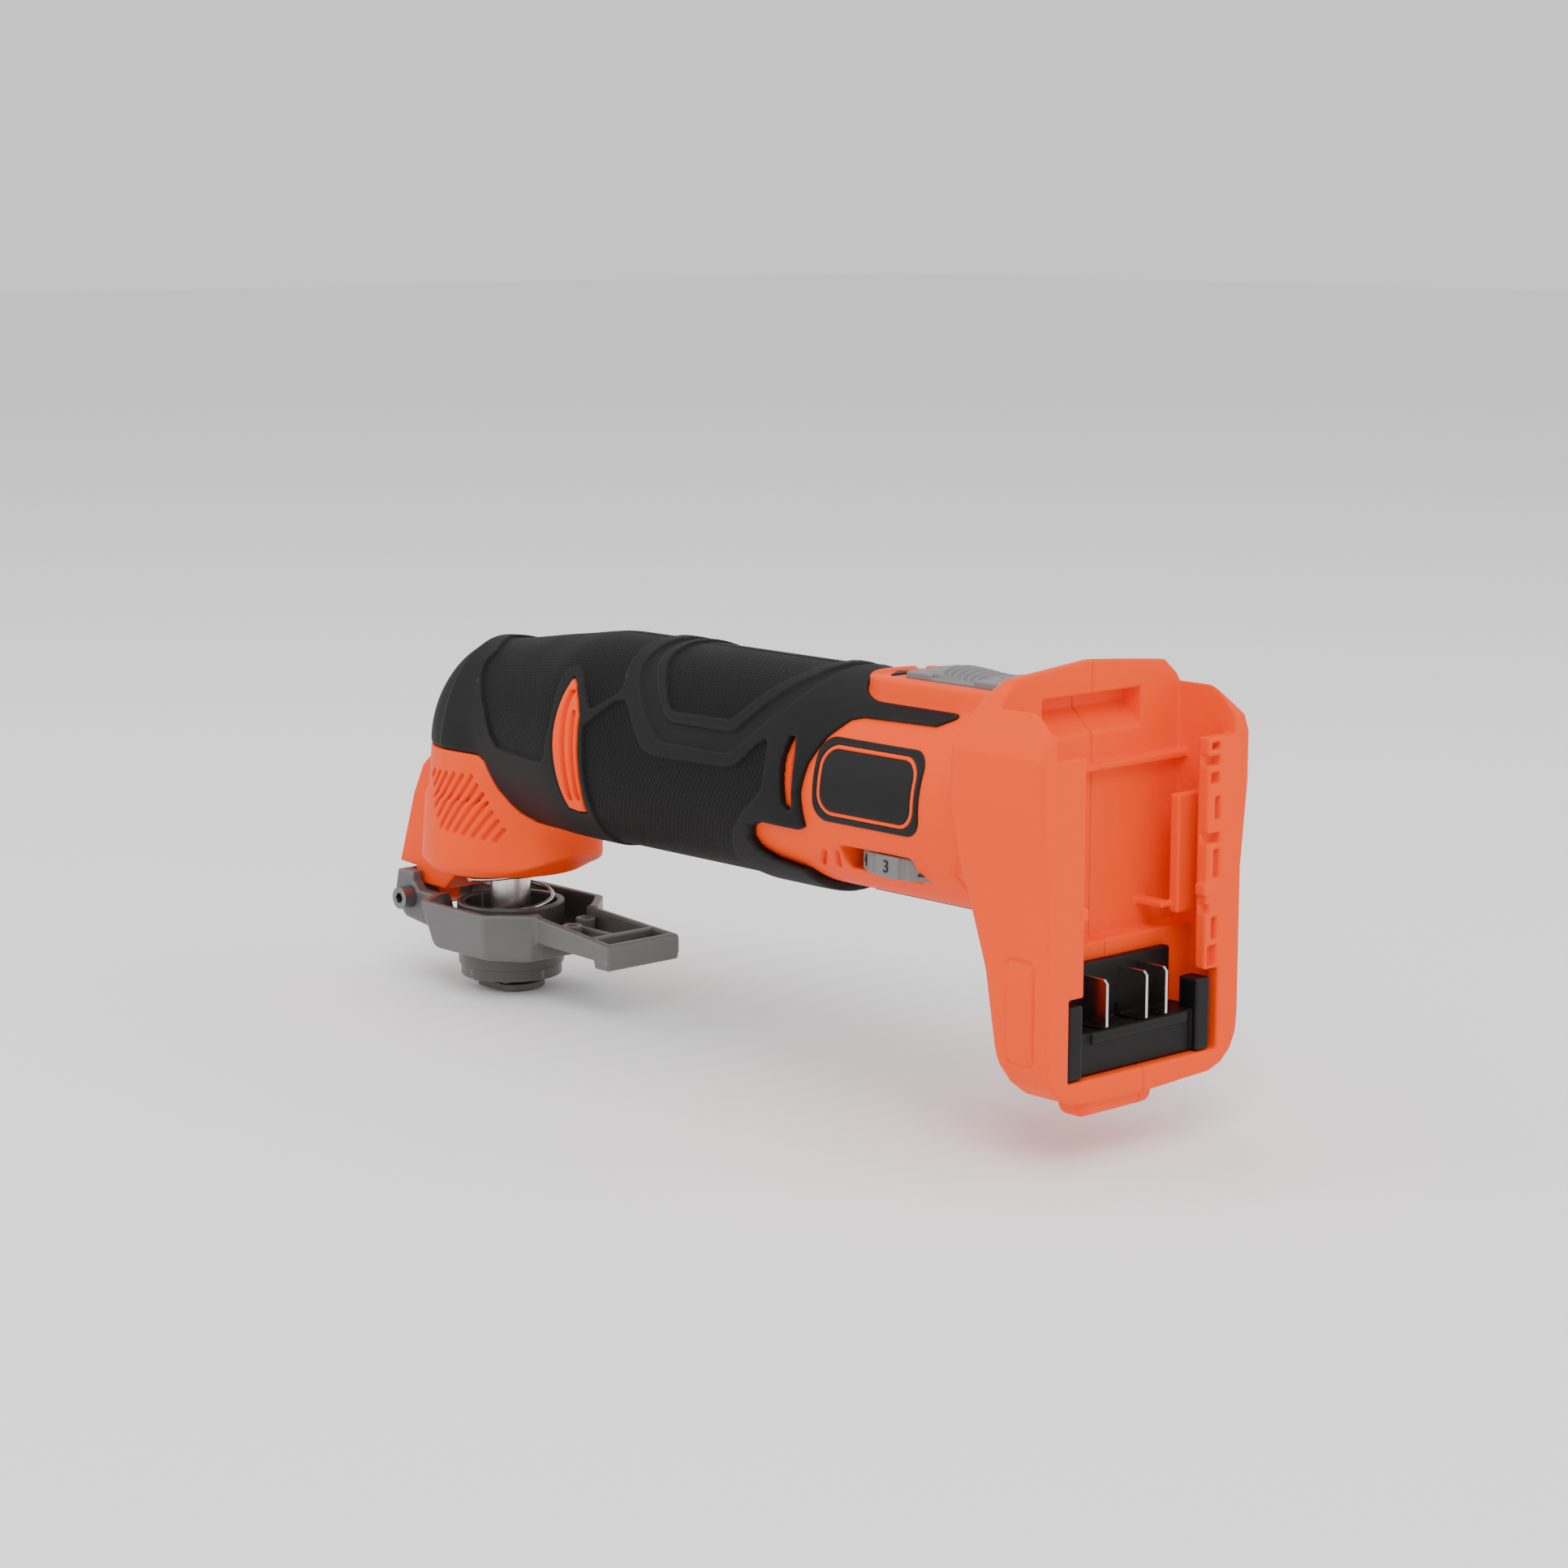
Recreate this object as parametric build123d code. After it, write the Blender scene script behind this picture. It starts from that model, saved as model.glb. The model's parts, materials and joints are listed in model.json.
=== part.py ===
"""Cordless oscillating multi-tool, bare tool with a slide battery foot and a squeeze-lever accessory holder.

Model axes: +X towards the head, +Y to the user's left, +Z up. Working coordinates start at the rear
rim (X = 0), the clamshell split (Y = 0) and the motor axis (Z = 0). Every piece is written out with
the origin moved to the spindle axis at the accessory face of the holder.
"""
import os
from math import cos, pi, sin

from build123d import *

# ---- driving dimensions, millimetres -------------------------------------------------------------
GRIP_R = 31.0            # outside radius of the soft grip around the motor
GRIP_SKIN = 3.0          # thickness of the soft grip
SHELL_WALL = 2.5         # wall of the moulded clamshell
NECK_X = 200.0           # where the grip ends and the neck begins
SPINDLE_X = 254.5        # spindle axis, measured from the rear rim
NECK_R = 20.8            # outside radius of the neck at the spindle axis
DOME_TOP = 22.2          # top of the rounded head above the motor axis
DOME_TOP_R = 12.5        # head radius at its top, before the edge is rounded
DOME_ROUND = 10.0        # rounding of the head's top edge
SEAM_GAP = 0.15          # half of the joint line between the two shells

FOOT_DEPTH = 19.0        # rim to the back wall of the battery recess
FOOT_HALF = 36.0         # half width of the battery foot
FOOT_WALL = 3.0          # side walls of the battery foot
FOOT_TOP = 40.5          # top of the hood above the motor axis
FOOT_BOTTOM = 67.0       # underside of the foot below the motor axis
RIM_TOP = 25.0           # rear end of the foot's side walls
RAIL_INNER = 22.3        # half gap between the battery rails
RAIL_THICK = 3.5         # rails along the tool's axis
RAIL_TOP = 20.0
RAIL_BOTTOM = -40.0
TERMINAL_DEPTH = 13.5    # rim to the wall behind the terminal block

NOSE_R = 25.8            # nose skirt at its lower edge
NOSE_TOP_R = 23.2        # nose skirt under the soft grip
NOSE_BOTTOM = -46.0      # lower edge of the nose skirt
NOSE_WALL = 2.5
NOSE_ROOT = -33.0        # how far the soft grip reaches down around the nose
NOSE_SPLIT = -8.3        # joint between nose skirt and soft grip
NOSE_TAIL_R = 15.0       # rounded rear end of the nose skirt
NOSE_TAIL_BACK = 20.5    # its centre behind the spindle axis

SPINDLE_R = 6.0
SPINDLE_TOP = 4.6
JOURNAL_R = 3.0          # upper end of the spindle
FLANGE_R = 10.0
FLANGE_BOTTOM = -82.7
FLANGE_THICK = 1.8
RUNNING_GAP = 0.05       # radial clearance of parts that slide or turn on each other

HOLDER_FACE = -78.9      # accessory face of the holder
HOLDER_R = 15.2
HOLDER_STEP = -75.4
HOLDER_RING_R = 15.9
CUP_R = 16.2
CUP_WALL = 2.2
CUP_TOP = -56.5
CUP_UNDER = -67.6
HOLDER_NECK_R = 14.2
PIN_COUNT = 8
PIN_R = 1.2
PIN_PCD = 25.8
PIN_LENGTH = 1.6

SPRING_OD = 26.6
SPRING_WIRE = 1.6
SPRING_TURNS = 3.5

PIVOT_X = 288.0
PIVOT_Z = -59.0
PIVOT_R = 2.0
KNUCKLE_HALF = 4.0
KNUCKLE_R = 3.4
FIN_HALF = 8.5           # half width of the pivot bracket
ARM_INNER = 8.9
ARM_OUTER = 12.8
LEVER_HALF = 23.0
LEVER_WALL = 2.4
LEVER_TOP = -56.0
LEVER_BOTTOM = -70.2
LEVER_FLOOR = 2.2
HANDLE_END = 191.0
HANDLE_HALF = 13.5
LIFT_HOLE_R = 18.2

MOTOR_R = 18.0
MOTOR_REAR = 106.0
MOTOR_FRONT = 163.0
CAN_WALL = 2.0
MAGNET_THICK = 3.5
AIR_GAP = 0.6
SHAFT_R = 2.5
SHAFT_REAR = 94.0
SHAFT_FRONT = 222.0
FAN_R = 21.5
FAN_X = 168.0
FAN_THICK = 9.0
FAN_BLADES = 11
ECCENTRICITY = 0.8
ECC_X = 217.0
ECC_BEARING_R = 8.0
ECC_BEARING_WIDTH = 5.0
FORK_PLAY = 2.0          # bearing to fork finger, room for the orbit and the swing
FORK_LOW = -12.8
FORK_THICK = 3.0
FINGER_THICK = 3.2

SLIDER_REAR = 42.0
SLIDER_FRONT = 76.0
SLIDER_HALF = 9.2
SLIDER_TRAVEL = 7.0
PAD_TOP = 30.6
PAD_HALF = 15.0
PAD_FRONT = 92.0
SLOT_FLOOR = 27.6

BADGE_X = 71.2           # middle of the blank badge plates
BADGE_Z = 4.5

DIAL_X = 66.0
DIAL_Y = 5.5
DIAL_Z = -15.8
DIAL_R = 20.0
DIAL_THICK = 6.0
DIAL_FACETS = 12

SCREW_R = 1.5
SCREW_HEAD_R = 3.0
NOSE_SCREW_Y = 18.0
CASE_GAP = 0.3           # gearcase to housing
CASE_WALL = 2.2
CASE_REAR = 178.0
CASE_FLOOR = -13.5       # wall between the fork and the lower bearing

PARTS = "parts"
SHELL_R = GRIP_R - GRIP_SKIN
BORE_R = SHELL_R - SHELL_WALL


# ---- small shapes --------------------------------------------------------------------------------
def block(x0, x1, y0, y1, z0, z1):
    """A box between two corners."""
    centre = Pos((x0 + x1) / 2, (y0 + y1) / 2, (z0 + z1) / 2)
    return centre * Box(abs(x1 - x0), abs(y1 - y0), abs(z1 - z0))


def rod_x(r, x0, x1, y=0.0, z=0.0):
    """A cylinder along X."""
    return Pos((x0 + x1) / 2, y, z) * Rot(0, 90, 0) * Cylinder(r, abs(x1 - x0))


def rod_y(r, y0, y1, x, z):
    """A cylinder along Y."""
    return Pos(x, (y0 + y1) / 2, z) * Rot(90, 0, 0) * Cylinder(r, abs(y1 - y0))


def rod_z(r, z0, z1, x=SPINDLE_X, y=0.0):
    """A cylinder along Z, on the spindle axis unless placed."""
    return Pos(x, y, (z0 + z1) / 2) * Cylinder(r, abs(z1 - z0))


def tube_x(r_out, r_in, x0, x1, z=0.0):
    """A tube along X."""
    return rod_x(r_out, x0, x1, 0, z) - rod_x(r_in, x0 - 1, x1 + 1, 0, z)


def tube_z(r_out, r_in, z0, z1, x=SPINDLE_X):
    """A tube along Z."""
    return rod_z(r_out, z0, z1, x) - rod_z(r_in, z0 - 1, z1 + 1, x)


def side_plate(points, y0, y1):
    """A plate whose outline is drawn in the XZ plane."""
    outline = make_face(Polyline([Vector(x, y0, z) for x, z in points], close=True))
    return extrude(outline, amount=y1 - y0, dir=(0, 1, 0))


def rear_plate(points, x0, x1):
    """A plate whose outline is drawn in the YZ plane."""
    outline = make_face(Polyline([Vector(x0, y, z) for y, z in points], close=True))
    return extrude(outline, amount=x1 - x0, dir=(1, 0, 0))


def plan_plate(points, z0, z1):
    """A plate whose outline is drawn in the XY plane."""
    outline = make_face(Polyline([Vector(x, y, z0) for x, y in points], close=True))
    return extrude(outline, amount=z1 - z0, dir=(0, 0, 1))


def mirrored_plan(points):
    """The outline of a plan that is the same on both sides of Y = 0, from its left half."""
    return points + [(x, -y) for x, y in reversed(points)]


def turned(profile, x=SPINDLE_X):
    """A solid of revolution about a vertical axis, from (radius, height) points."""
    outline = make_face(Polyline([Vector(x + r, 0, z) for r, z in profile], close=True))
    return revolve(outline, Axis((x, 0, 0), (0, 0, 1)), 360)


def one(shape):
    """Keep the largest solid, which drops slivers left by a cut."""
    return max(shape.solids(), key=lambda s: s.volume)


def half(shape, side):
    """One side of the clamshell: side is +1 for left and -1 for right."""
    gap = SEAM_GAP * side
    far = 200.0 * side
    return one(shape & block(-50, 400, gap, far, -150, 100))


def hex_pocket(across, depth):
    """A hexagonal key socket that opens towards +Z."""
    return extrude(RegularPolygon(across / 2, 6, major_radius=False), amount=depth)


# ---- outer form of the tool ----------------------------------------------------------------------
def neck_form(inset):
    """The tapering neck between the grip and the spindle axis."""
    middle = Pos((NECK_X + SPINDLE_X) / 2, 0, 0) * Rot(0, 90, 0)
    return middle * Cone(GRIP_R - inset, NECK_R - inset, SPINDLE_X - NECK_X)


def dome_form(inset):
    """The rounded head around the spindle axis, down to the nose joint."""
    height = DOME_TOP - inset - NOSE_SPLIT
    middle = Pos(SPINDLE_X, 0, NOSE_SPLIT + height / 2)
    head = Cone(NOSE_TOP_R - inset, DOME_TOP_R - inset, height)
    head = fillet(head.edges().sort_by(Axis.Z)[-1], DOME_ROUND - inset)
    return middle * head + rod_z(NOSE_TOP_R - inset, NOSE_SPLIT - 6, NOSE_SPLIT)


def body_form(inset, rear=FOOT_DEPTH + 3):
    """The whole grip, neck, dome and the root of the nose, smaller by the inset."""
    grip = rod_x(GRIP_R - inset, rear, NECK_X)
    return grip + neck_form(inset) + dome_form(inset) + nose_form(inset, NOSE_ROOT)


def nose_form(inset, bottom):
    """The nose skirt: a round front and a narrower rounded tail."""
    height = NOSE_SPLIT - bottom
    centre = Pos(SPINDLE_X, 0, (NOSE_SPLIT + bottom) / 2)
    front = centre * Cone(NOSE_R - inset, NOSE_TOP_R - inset, height)
    tail_x = SPINDLE_X - NOSE_TAIL_BACK
    tail = rod_z(NOSE_TAIL_R - inset, bottom, NOSE_SPLIT, tail_x)
    front_half = NOSE_R - inset - 1.6
    web_points = mirrored_plan([(SPINDLE_X, front_half), (tail_x, NOSE_TAIL_R - inset)])
    return front + tail + plan_plate(web_points, bottom, NOSE_SPLIT)


def grip_outline(margin):
    """Side view of everything that the soft grip covers."""
    lobe = [(96, -10), (112, -10), (117, -16.5), (112, -20.5), (101, -22.5), (101, -45)]
    under = [(209, -45), (209, -31), (218.5, -28.8), (224.5, -27.1), (229, -24.7), (232, -21.5)]
    nape = [(234.5, -18), (236, -13.8), (237.3, -9.3)]
    nose = [(240.4, NOSE_SPLIT + margin), (300, NOSE_SPLIT + margin), (300, 45), (94, 45)]
    tongue = [(94, 30), (86, 27.6), (50, 27.6), (49.5, 26.5), (56, 20.4), (80, 20.4)]
    badge = [(89, 16.6), (94.2, 8), (95.5, -2)]
    return lobe + under + nape + nose + tongue + badge


def soft_grip():
    """The soft moulding around the housing, before it is parted left and right."""
    skin = body_form(0) - body_form(GRIP_SKIN, rear=0)
    zone = side_plate(grip_outline(0.1), -60, 60)
    return (skin & zone) - rod_z(NOSE_TOP_R - GRIP_SKIN, -60, NOSE_SPLIT)


def vent_outline(margin):
    """Side view of the crescent-shaped vent in the neck."""
    front = [(194.2 + margin, -18.3 - margin), (195 + margin, -9), (194.8 + margin, 4), (194 + margin, 19.5 + margin)]
    rear = [(188 - margin, 15 + margin), (184.6 - margin, 8), (184.3 - margin, -4), (185.3 - margin, -11)]
    return front + rear + [(187.3 - margin, -18.3 - margin)]


def window_boxes():
    """Openings in the side of the shells for the neck vents and the rear vents."""
    cuts = []
    for side in (1, -1):
        cuts.append(side_plate(vent_outline(0.2), side * 15, side * 40))
        cuts.append(block(97.2, 101.2, side * 15, side * 40, -4, 14))
    return cuts


# ---- battery foot --------------------------------------------------------------------------------
def foot_outline(inset):
    """Rear view of the foot, with a shallow waist and chamfered lower corners."""
    wide = FOOT_HALF + 2 - inset
    narrow = FOOT_HALF - 0.5 - inset
    low = -FOOT_BOTTOM + inset
    left = [
        (0, low), (narrow - 10, low + 1.5), (narrow - 2.5, low + 5.5), (narrow, low + 11),
        (narrow, -14), (wide, 8), (wide, RIM_TOP - 4), (wide - 2, RIM_TOP),
        (FOOT_HALF - 5 - inset, FOOT_TOP - 3.5 - inset), (0, FOOT_TOP - inset),
    ]
    right = [(-y, z) for y, z in reversed(left[1:-1])]
    return left + right


def foot_side():
    """Side view of the foot: thin at the bottom, deep at the top, open above the rim."""
    return [
        (0, -FOOT_BOTTOM - 1), (9, -FOOT_BOTTOM - 1), (14, -FOOT_BOTTOM + 5), (16.5, -55),
        (20.5, -33), (27, -20), (33, -8), (35, 10), (33, 32), (30, FOOT_TOP + 1),
        (17, FOOT_TOP + 1), (10, 34), (4, RIM_TOP + 2), (0, RIM_TOP),
    ]


def foot_solid():
    """The outside of the battery foot as one lump."""
    lump = rear_plate(foot_outline(0), 0, 40) & side_plate(foot_side(), -60, 60)
    bump = Pos(8, 12, -FOOT_BOTTOM + 1) * Box(14, 28, 8)
    return lump + fillet(bump.edges().filter_by(Axis.Z), 3)


def foot_recess():
    """The space that the battery slides into, from above and from behind."""
    inner = FOOT_HALF - 0.5 - FOOT_WALL
    upper = block(RAIL_THICK, FOOT_DEPTH, -inner, inner, -30, FOOT_TOP + 10)
    lower = block(RAIL_THICK, TERMINAL_DEPTH, -inner, inner, -60, -30)
    throat = block(-1, RAIL_THICK, -RAIL_INNER, RAIL_INNER, RAIL_BOTTOM, FOOT_TOP + 10)
    above = block(-1, RAIL_THICK, -inner, inner, RAIL_TOP, FOOT_TOP + 10)
    below = block(-1, RAIL_THICK, -27.5, 27.5, -60, RAIL_BOTTOM)
    return [upper, lower, throat, above, below]


def latch_pocket():
    """The catch pocket near the top of the back wall, with a sloping floor."""
    floor = [(FOOT_DEPTH - 1, 21.5), (FOOT_DEPTH, 21.5), (26, 27.5), (26, 31.5), (FOOT_DEPTH - 1, 31.5)]
    return side_plate(floor, -18, 18)


def foot_details():
    """Ribs and stops inside the recess."""
    cross_rib = block(FOOT_DEPTH - 3.2, FOOT_DEPTH + 1, -28, 28, 12, 15)
    stops = [block(-1.0 + 0.6, 2, s * 22.6, s * 25.5, -19.5, -16.5) for s in (1, -1)]
    guide = block(8, 11, -32.8, -19.5, -22, 5)
    return [cross_rib, guide] + stops


# ---- clamshell -----------------------------------------------------------------------------------
def switch_pad():
    """The raised frame around the switch slider."""
    straight = block(28, PAD_FRONT - PAD_HALF, -PAD_HALF, PAD_HALF, 20, PAD_TOP)
    return straight + rod_z(PAD_HALF, 20, PAD_TOP, PAD_FRONT - PAD_HALF)


def switch_pad_room():
    """The switch pad with a small gap all round, cut out of the soft grip."""
    gap = 0.15
    straight = block(28, PAD_FRONT - PAD_HALF, -PAD_HALF - gap, PAD_HALF + gap, 15, 40)
    return straight + rod_z(PAD_HALF + gap, 15, 40, PAD_FRONT - PAD_HALF)


def switch_slot():
    """The slot that the slider runs in, and the hole for its stem."""
    tray = block(SLIDER_REAR - 0.5, 88, -SLIDER_HALF - 0.4, SLIDER_HALF + 0.4, SLOT_FLOOR, 45)
    stem = block(54, 54 + 8 + SLIDER_TRAVEL + 1, -3.4, 3.4, 15, 45)
    return [tray, stem]


def dial_window():
    """Opening for the speed dial, and the room that the wheel turns in."""
    room = rod_z(DIAL_R + 0.6, DIAL_Z - DIAL_THICK / 2 - 0.4, DIAL_Z + DIAL_THICK / 2 + 0.4,
                 DIAL_X, DIAL_Y)
    mouth = block(DIAL_X - 12, DIAL_X + 13, 20, 40, DIAL_Z - 3.2, DIAL_Z + 3.2)
    return [room, mouth]


def screw_places():
    """Screws that hold the two shells together: position along the tool and height."""
    return [(46, -24), (100, 21.8), (160, 21.8), (160, -21.8), (100, -21.8)]


def shell_whole():
    """The moulded housing before it is parted left and right."""
    skin = body_form(GRIP_SKIN, rear=FOOT_DEPTH + 1) + foot_solid() + switch_pad()
    bore = body_form(GRIP_SKIN + SHELL_WALL, rear=FOOT_DEPTH + 3)
    skin -= bore
    skin -= rod_x(BORE_R, FOOT_DEPTH + 3, 60)
    skin -= block(200, 300, -60, 60, -60, NOSE_SPLIT - 4)
    skin -= block(235, 300, -60, 60, -60, NOSE_SPLIT)
    skin -= rod_z(NOSE_TOP_R - GRIP_SKIN - SHELL_WALL, -60, NOSE_SPLIT)
    for cut in foot_recess() + [latch_pocket()] + switch_slot() + dial_window() + window_boxes():
        skin -= cut
    for rib in foot_details():
        skin += rib
    for x, z in screw_places():
        skin += rod_y(SCREW_R + 2, -6, 6, x, z) & body_form(GRIP_SKIN + 1, rear=25)
        skin -= rod_y(SCREW_R + RUNNING_GAP, -60, 60, x, z)
        skin -= rod_y(SCREW_HEAD_R + 0.3, -60, -9, x, z)
    return skin


# ---- nose cover ----------------------------------------------------------------------------------
def fin_profile():
    """Side view of the pivot bracket in front of the nose."""
    return [
        (272, -15.5), (284, -15.5), (288.5, -19), (292.5, -27), (300, -50.2),
        (291.0, -50.6), (290.6, -55.8), (276, -55.8), (272, -50),
    ]


def nose_cover():
    """The orange nose: skirt, bottom plate, cooling slots and the lever's pivot bracket."""
    skirt = nose_form(0, NOSE_BOTTOM)
    slope = [(200, NOSE_BOTTOM - 2), (235, NOSE_BOTTOM - 2), (235, NOSE_BOTTOM), (212, -39.5), (200, -35)]
    skirt -= side_plate(slope, -60, 60)
    skirt -= nose_form(NOSE_WALL, NOSE_BOTTOM + NOSE_WALL) - side_plate(slope_lining(), -60, 60)
    skirt += side_plate(fin_profile(), -FIN_HALF, FIN_HALF) - nose_form(NOSE_WALL, NOSE_BOTTOM + NOSE_WALL)
    skirt += rod_y(KNUCKLE_R, -KNUCKLE_HALF, KNUCKLE_HALF, PIVOT_X, PIVOT_Z)
    skirt += block(PIVOT_X - KNUCKLE_R, PIVOT_X + KNUCKLE_R - 1, -KNUCKLE_HALF, KNUCKLE_HALF, PIVOT_Z, -54)
    skirt -= rod_y(PIVOT_R, -20, 20, PIVOT_X, PIVOT_Z)
    skirt -= rod_z(SPINDLE_R + 9, NOSE_BOTTOM - 1, NOSE_BOTTOM + NOSE_WALL + 1)
    skirt -= side_plate(grip_outline(0), -60, 60)
    for side in (1, -1):
        skirt -= rod_z(SCREW_R, NOSE_BOTTOM - 1, NOSE_BOTTOM + 8, SPINDLE_X, side * NOSE_SCREW_Y)
    for cut in louvre_cuts():
        skirt -= cut
    return one(skirt)


def slope_lining():
    """Keeps a wall above the sloping underside of the nose's tail."""
    return [(200, -50), (237, NOSE_BOTTOM), (235, NOSE_BOTTOM + NOSE_WALL), (212, -37), (200, -32.5)]


def louvre_cuts():
    """Slanted cooling slots on both sides of the nose."""
    cuts = []
    count = 9
    for i in range(count):
        x = SPINDLE_X + 10 - 4.2 * i + 8
        for side in (1, -1):
            slot = Pos(x, side * 22, -27.5) * Rot(0, -45, 0) * Box(13 - 0.6 * i, 16, 1.3)
            cuts.append(slot)
    return cuts


# ---- head mechanism ------------------------------------------------------------------------------
def gearcase():
    """The aluminium casting that carries the spindle bearings and the motor's front end."""
    outer = GRIP_SKIN + SHELL_WALL + CASE_GAP
    zone = block(CASE_REAR, 290, -30, 30, CASE_FLOOR - 3, 40)
    case = (body_form(outer, CASE_REAR) - body_form(outer + CASE_WALL, CASE_REAR + 5)) & zone
    case += rod_z(17, NOSE_BOTTOM + NOSE_WALL + 0.1, CASE_FLOOR - 1)
    case += rod_z(11.2, -3, 6) & body_form(outer)
    for side in (1, -1):
        case += rod_z(2.6, NOSE_BOTTOM + NOSE_WALL + 0.1, -24, SPINDLE_X, side * NOSE_SCREW_Y)
        case -= rod_z(SCREW_R, -60, -40.8, SPINDLE_X, side * NOSE_SCREW_Y)
        case -= Pos(238.5, side * 21.5, NOSE_SPLIT - 3) * Box(7, 16.2, 6)
    case -= rod_z(14.4, -36, CASE_FLOOR)
    case -= rod_z(14.0, -44, -36)
    case -= rod_z(12.0, CASE_FLOOR - 3, -1.4)
    case -= rod_z(9.5, -1.4, 4.8)
    case -= plan_plate(fork_plan(0.9), FORK_LOW - 0.9, FORK_LOW + FORK_THICK + 0.9)
    return one(case - rod_x(9.4, 170, 190))


def spindle():
    """The oscillating output shaft with its clamping flange."""
    shaft = rod_z(SPINDLE_R, FLANGE_BOTTOM, -2)
    shaft += rod_z(JOURNAL_R, -3, SPINDLE_TOP)
    flange = rod_z(FLANGE_R, FLANGE_BOTTOM, FLANGE_BOTTOM + FLANGE_THICK)
    flats = block(SPINDLE_X - 20, SPINDLE_X + 20, -7.6, 7.6, FLANGE_BOTTOM - 1, -70)
    shaft += flange & flats
    return shaft - Pos(SPINDLE_X, 0, FLANGE_BOTTOM) * hex_pocket(5, 3)


def ball_bearing(r_in, r_out, width):
    """A shielded ball bearing on the Z axis, centred: one closed ring with shield grooves."""
    ring = Cylinder(r_out, width) - Cylinder(r_in, width + 2)
    land = (r_out - r_in) / 4
    groove = Cylinder(r_out - land, 0.4) - Cylinder(r_in + land, 2)
    for z in (width / 2, -width / 2):
        ring -= Pos(0, 0, z) * groove
    return ring


def fork_plan(room):
    """Plan of the fork's arm, wide at the fingers and narrow at the hub."""
    wide = ECC_BEARING_R + FORK_PLAY + FINGER_THICK + room
    narrow = 7.5 + room
    back = ECC_X - 5 - room
    return mirrored_plan([(SPINDLE_X, narrow), (SPINDLE_X - 10, narrow), (ECC_X + 7, wide), (back, wide)])


def drive_fork():
    """The fork clamped on the spindle, whose fingers straddle the eccentric bearing."""
    inner = ECC_BEARING_R + FORK_PLAY
    outer = inner + FINGER_THICK
    fork = rod_z(10.5, -14, -3.4) + plan_plate(fork_plan(0), FORK_LOW, FORK_LOW + FORK_THICK)
    for side in (1, -1):
        fork += block(ECC_X - 5, ECC_X + 5, side * inner, side * outer, FORK_LOW + 0.5, 6)
    return fork - rod_z(SPINDLE_R + 0.02, -20, 0)


def holder():
    """The accessory holder: spring cup on top, eight pins underneath, sliding on the spindle."""
    bore = SPINDLE_R + RUNNING_GAP
    cup_in = CUP_R - CUP_WALL
    profile = [
        (bore, HOLDER_FACE), (HOLDER_R, HOLDER_FACE), (HOLDER_R, HOLDER_STEP),
        (HOLDER_RING_R, HOLDER_STEP), (HOLDER_RING_R, LEVER_BOTTOM - 0.8),
        (HOLDER_NECK_R, LEVER_BOTTOM - 0.8), (HOLDER_NECK_R, CUP_UNDER), (CUP_R, CUP_UNDER),
        (CUP_R, CUP_TOP), (cup_in, CUP_TOP), (cup_in, CUP_UNDER + 2), (9, CUP_UNDER + 2),
        (9, CUP_UNDER + 5), (bore, CUP_UNDER + 5),
    ]
    body = turned(profile)
    for i in range(PIN_COUNT):
        angle = 2 * pi * (i + 0.5) / PIN_COUNT
        x = SPINDLE_X + PIN_PCD / 2 * cos(angle)
        y = PIN_PCD / 2 * sin(angle)
        body += rod_z(PIN_R, HOLDER_FACE - PIN_LENGTH, HOLDER_FACE + 1, x, y)
    return body


def lever_spring():
    """The coil spring between the nose and the holder's cup."""
    low = CUP_UNDER + 2 + SPRING_WIRE / 2 + 0.1
    high = NOSE_BOTTOM - SPRING_WIRE / 2 - 0.1
    pitch = (high - low) / SPRING_TURNS
    r = (SPRING_OD - SPRING_WIRE) / 2
    path = Helix(pitch, high - low, r)
    start = path @ 0
    tangent = path % 0
    wire = Plane(start, z_dir=tangent) * Circle(SPRING_WIRE / 2)
    coil = sweep(wire, path=path)
    return Pos(SPINDLE_X, 0, low) * coil


# ---- squeeze lever -------------------------------------------------------------------------------
def tub_outline(inset, front, rear_half, half_width):
    """Plan of the tub around the holder; front is where the wall ahead of the spindle stands."""
    return mirrored_plan([
        (front + 6 - inset, ARM_OUTER - inset), (front - inset / 2, half_width - inset),
        (238.5, half_width - inset), (227.5 + inset / 2, rear_half - inset),
    ])


def tub_loft(inset, z_low, z_high):
    """The tub between two heights, narrower and shorter towards the bottom."""
    span = LEVER_TOP - LEVER_BOTTOM
    faces = []
    for z in (z_low, z_high):
        t = (LEVER_TOP - z) / span
        points = tub_outline(inset, 269.3 - 6.3 * t, 11.5 + 3.0 * t, LEVER_HALF - 0.5 * t)
        faces.append(make_face(Polyline([Vector(x, y, z) for x, y in points], close=True)))
    return loft(faces, ruled=True)


def handle_solid(inset, top_extra, floor):
    """The handle as a tapered bar; with an inset it is the hollow inside it."""
    sections = []
    for x, half_y, top, bottom in ((233, 11.5, -56, -64.2), (HANDLE_END + inset, HANDLE_HALF, -59.3, -64.6)):
        y = half_y - inset
        corners = [(-y, bottom + floor), (y, bottom + floor), (y, top + top_extra), (-y, top + top_extra)]
        sections.append(make_face(Polyline([Vector(x, a, b) for a, b in corners], close=True)))
    return loft(sections, ruled=True)


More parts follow.
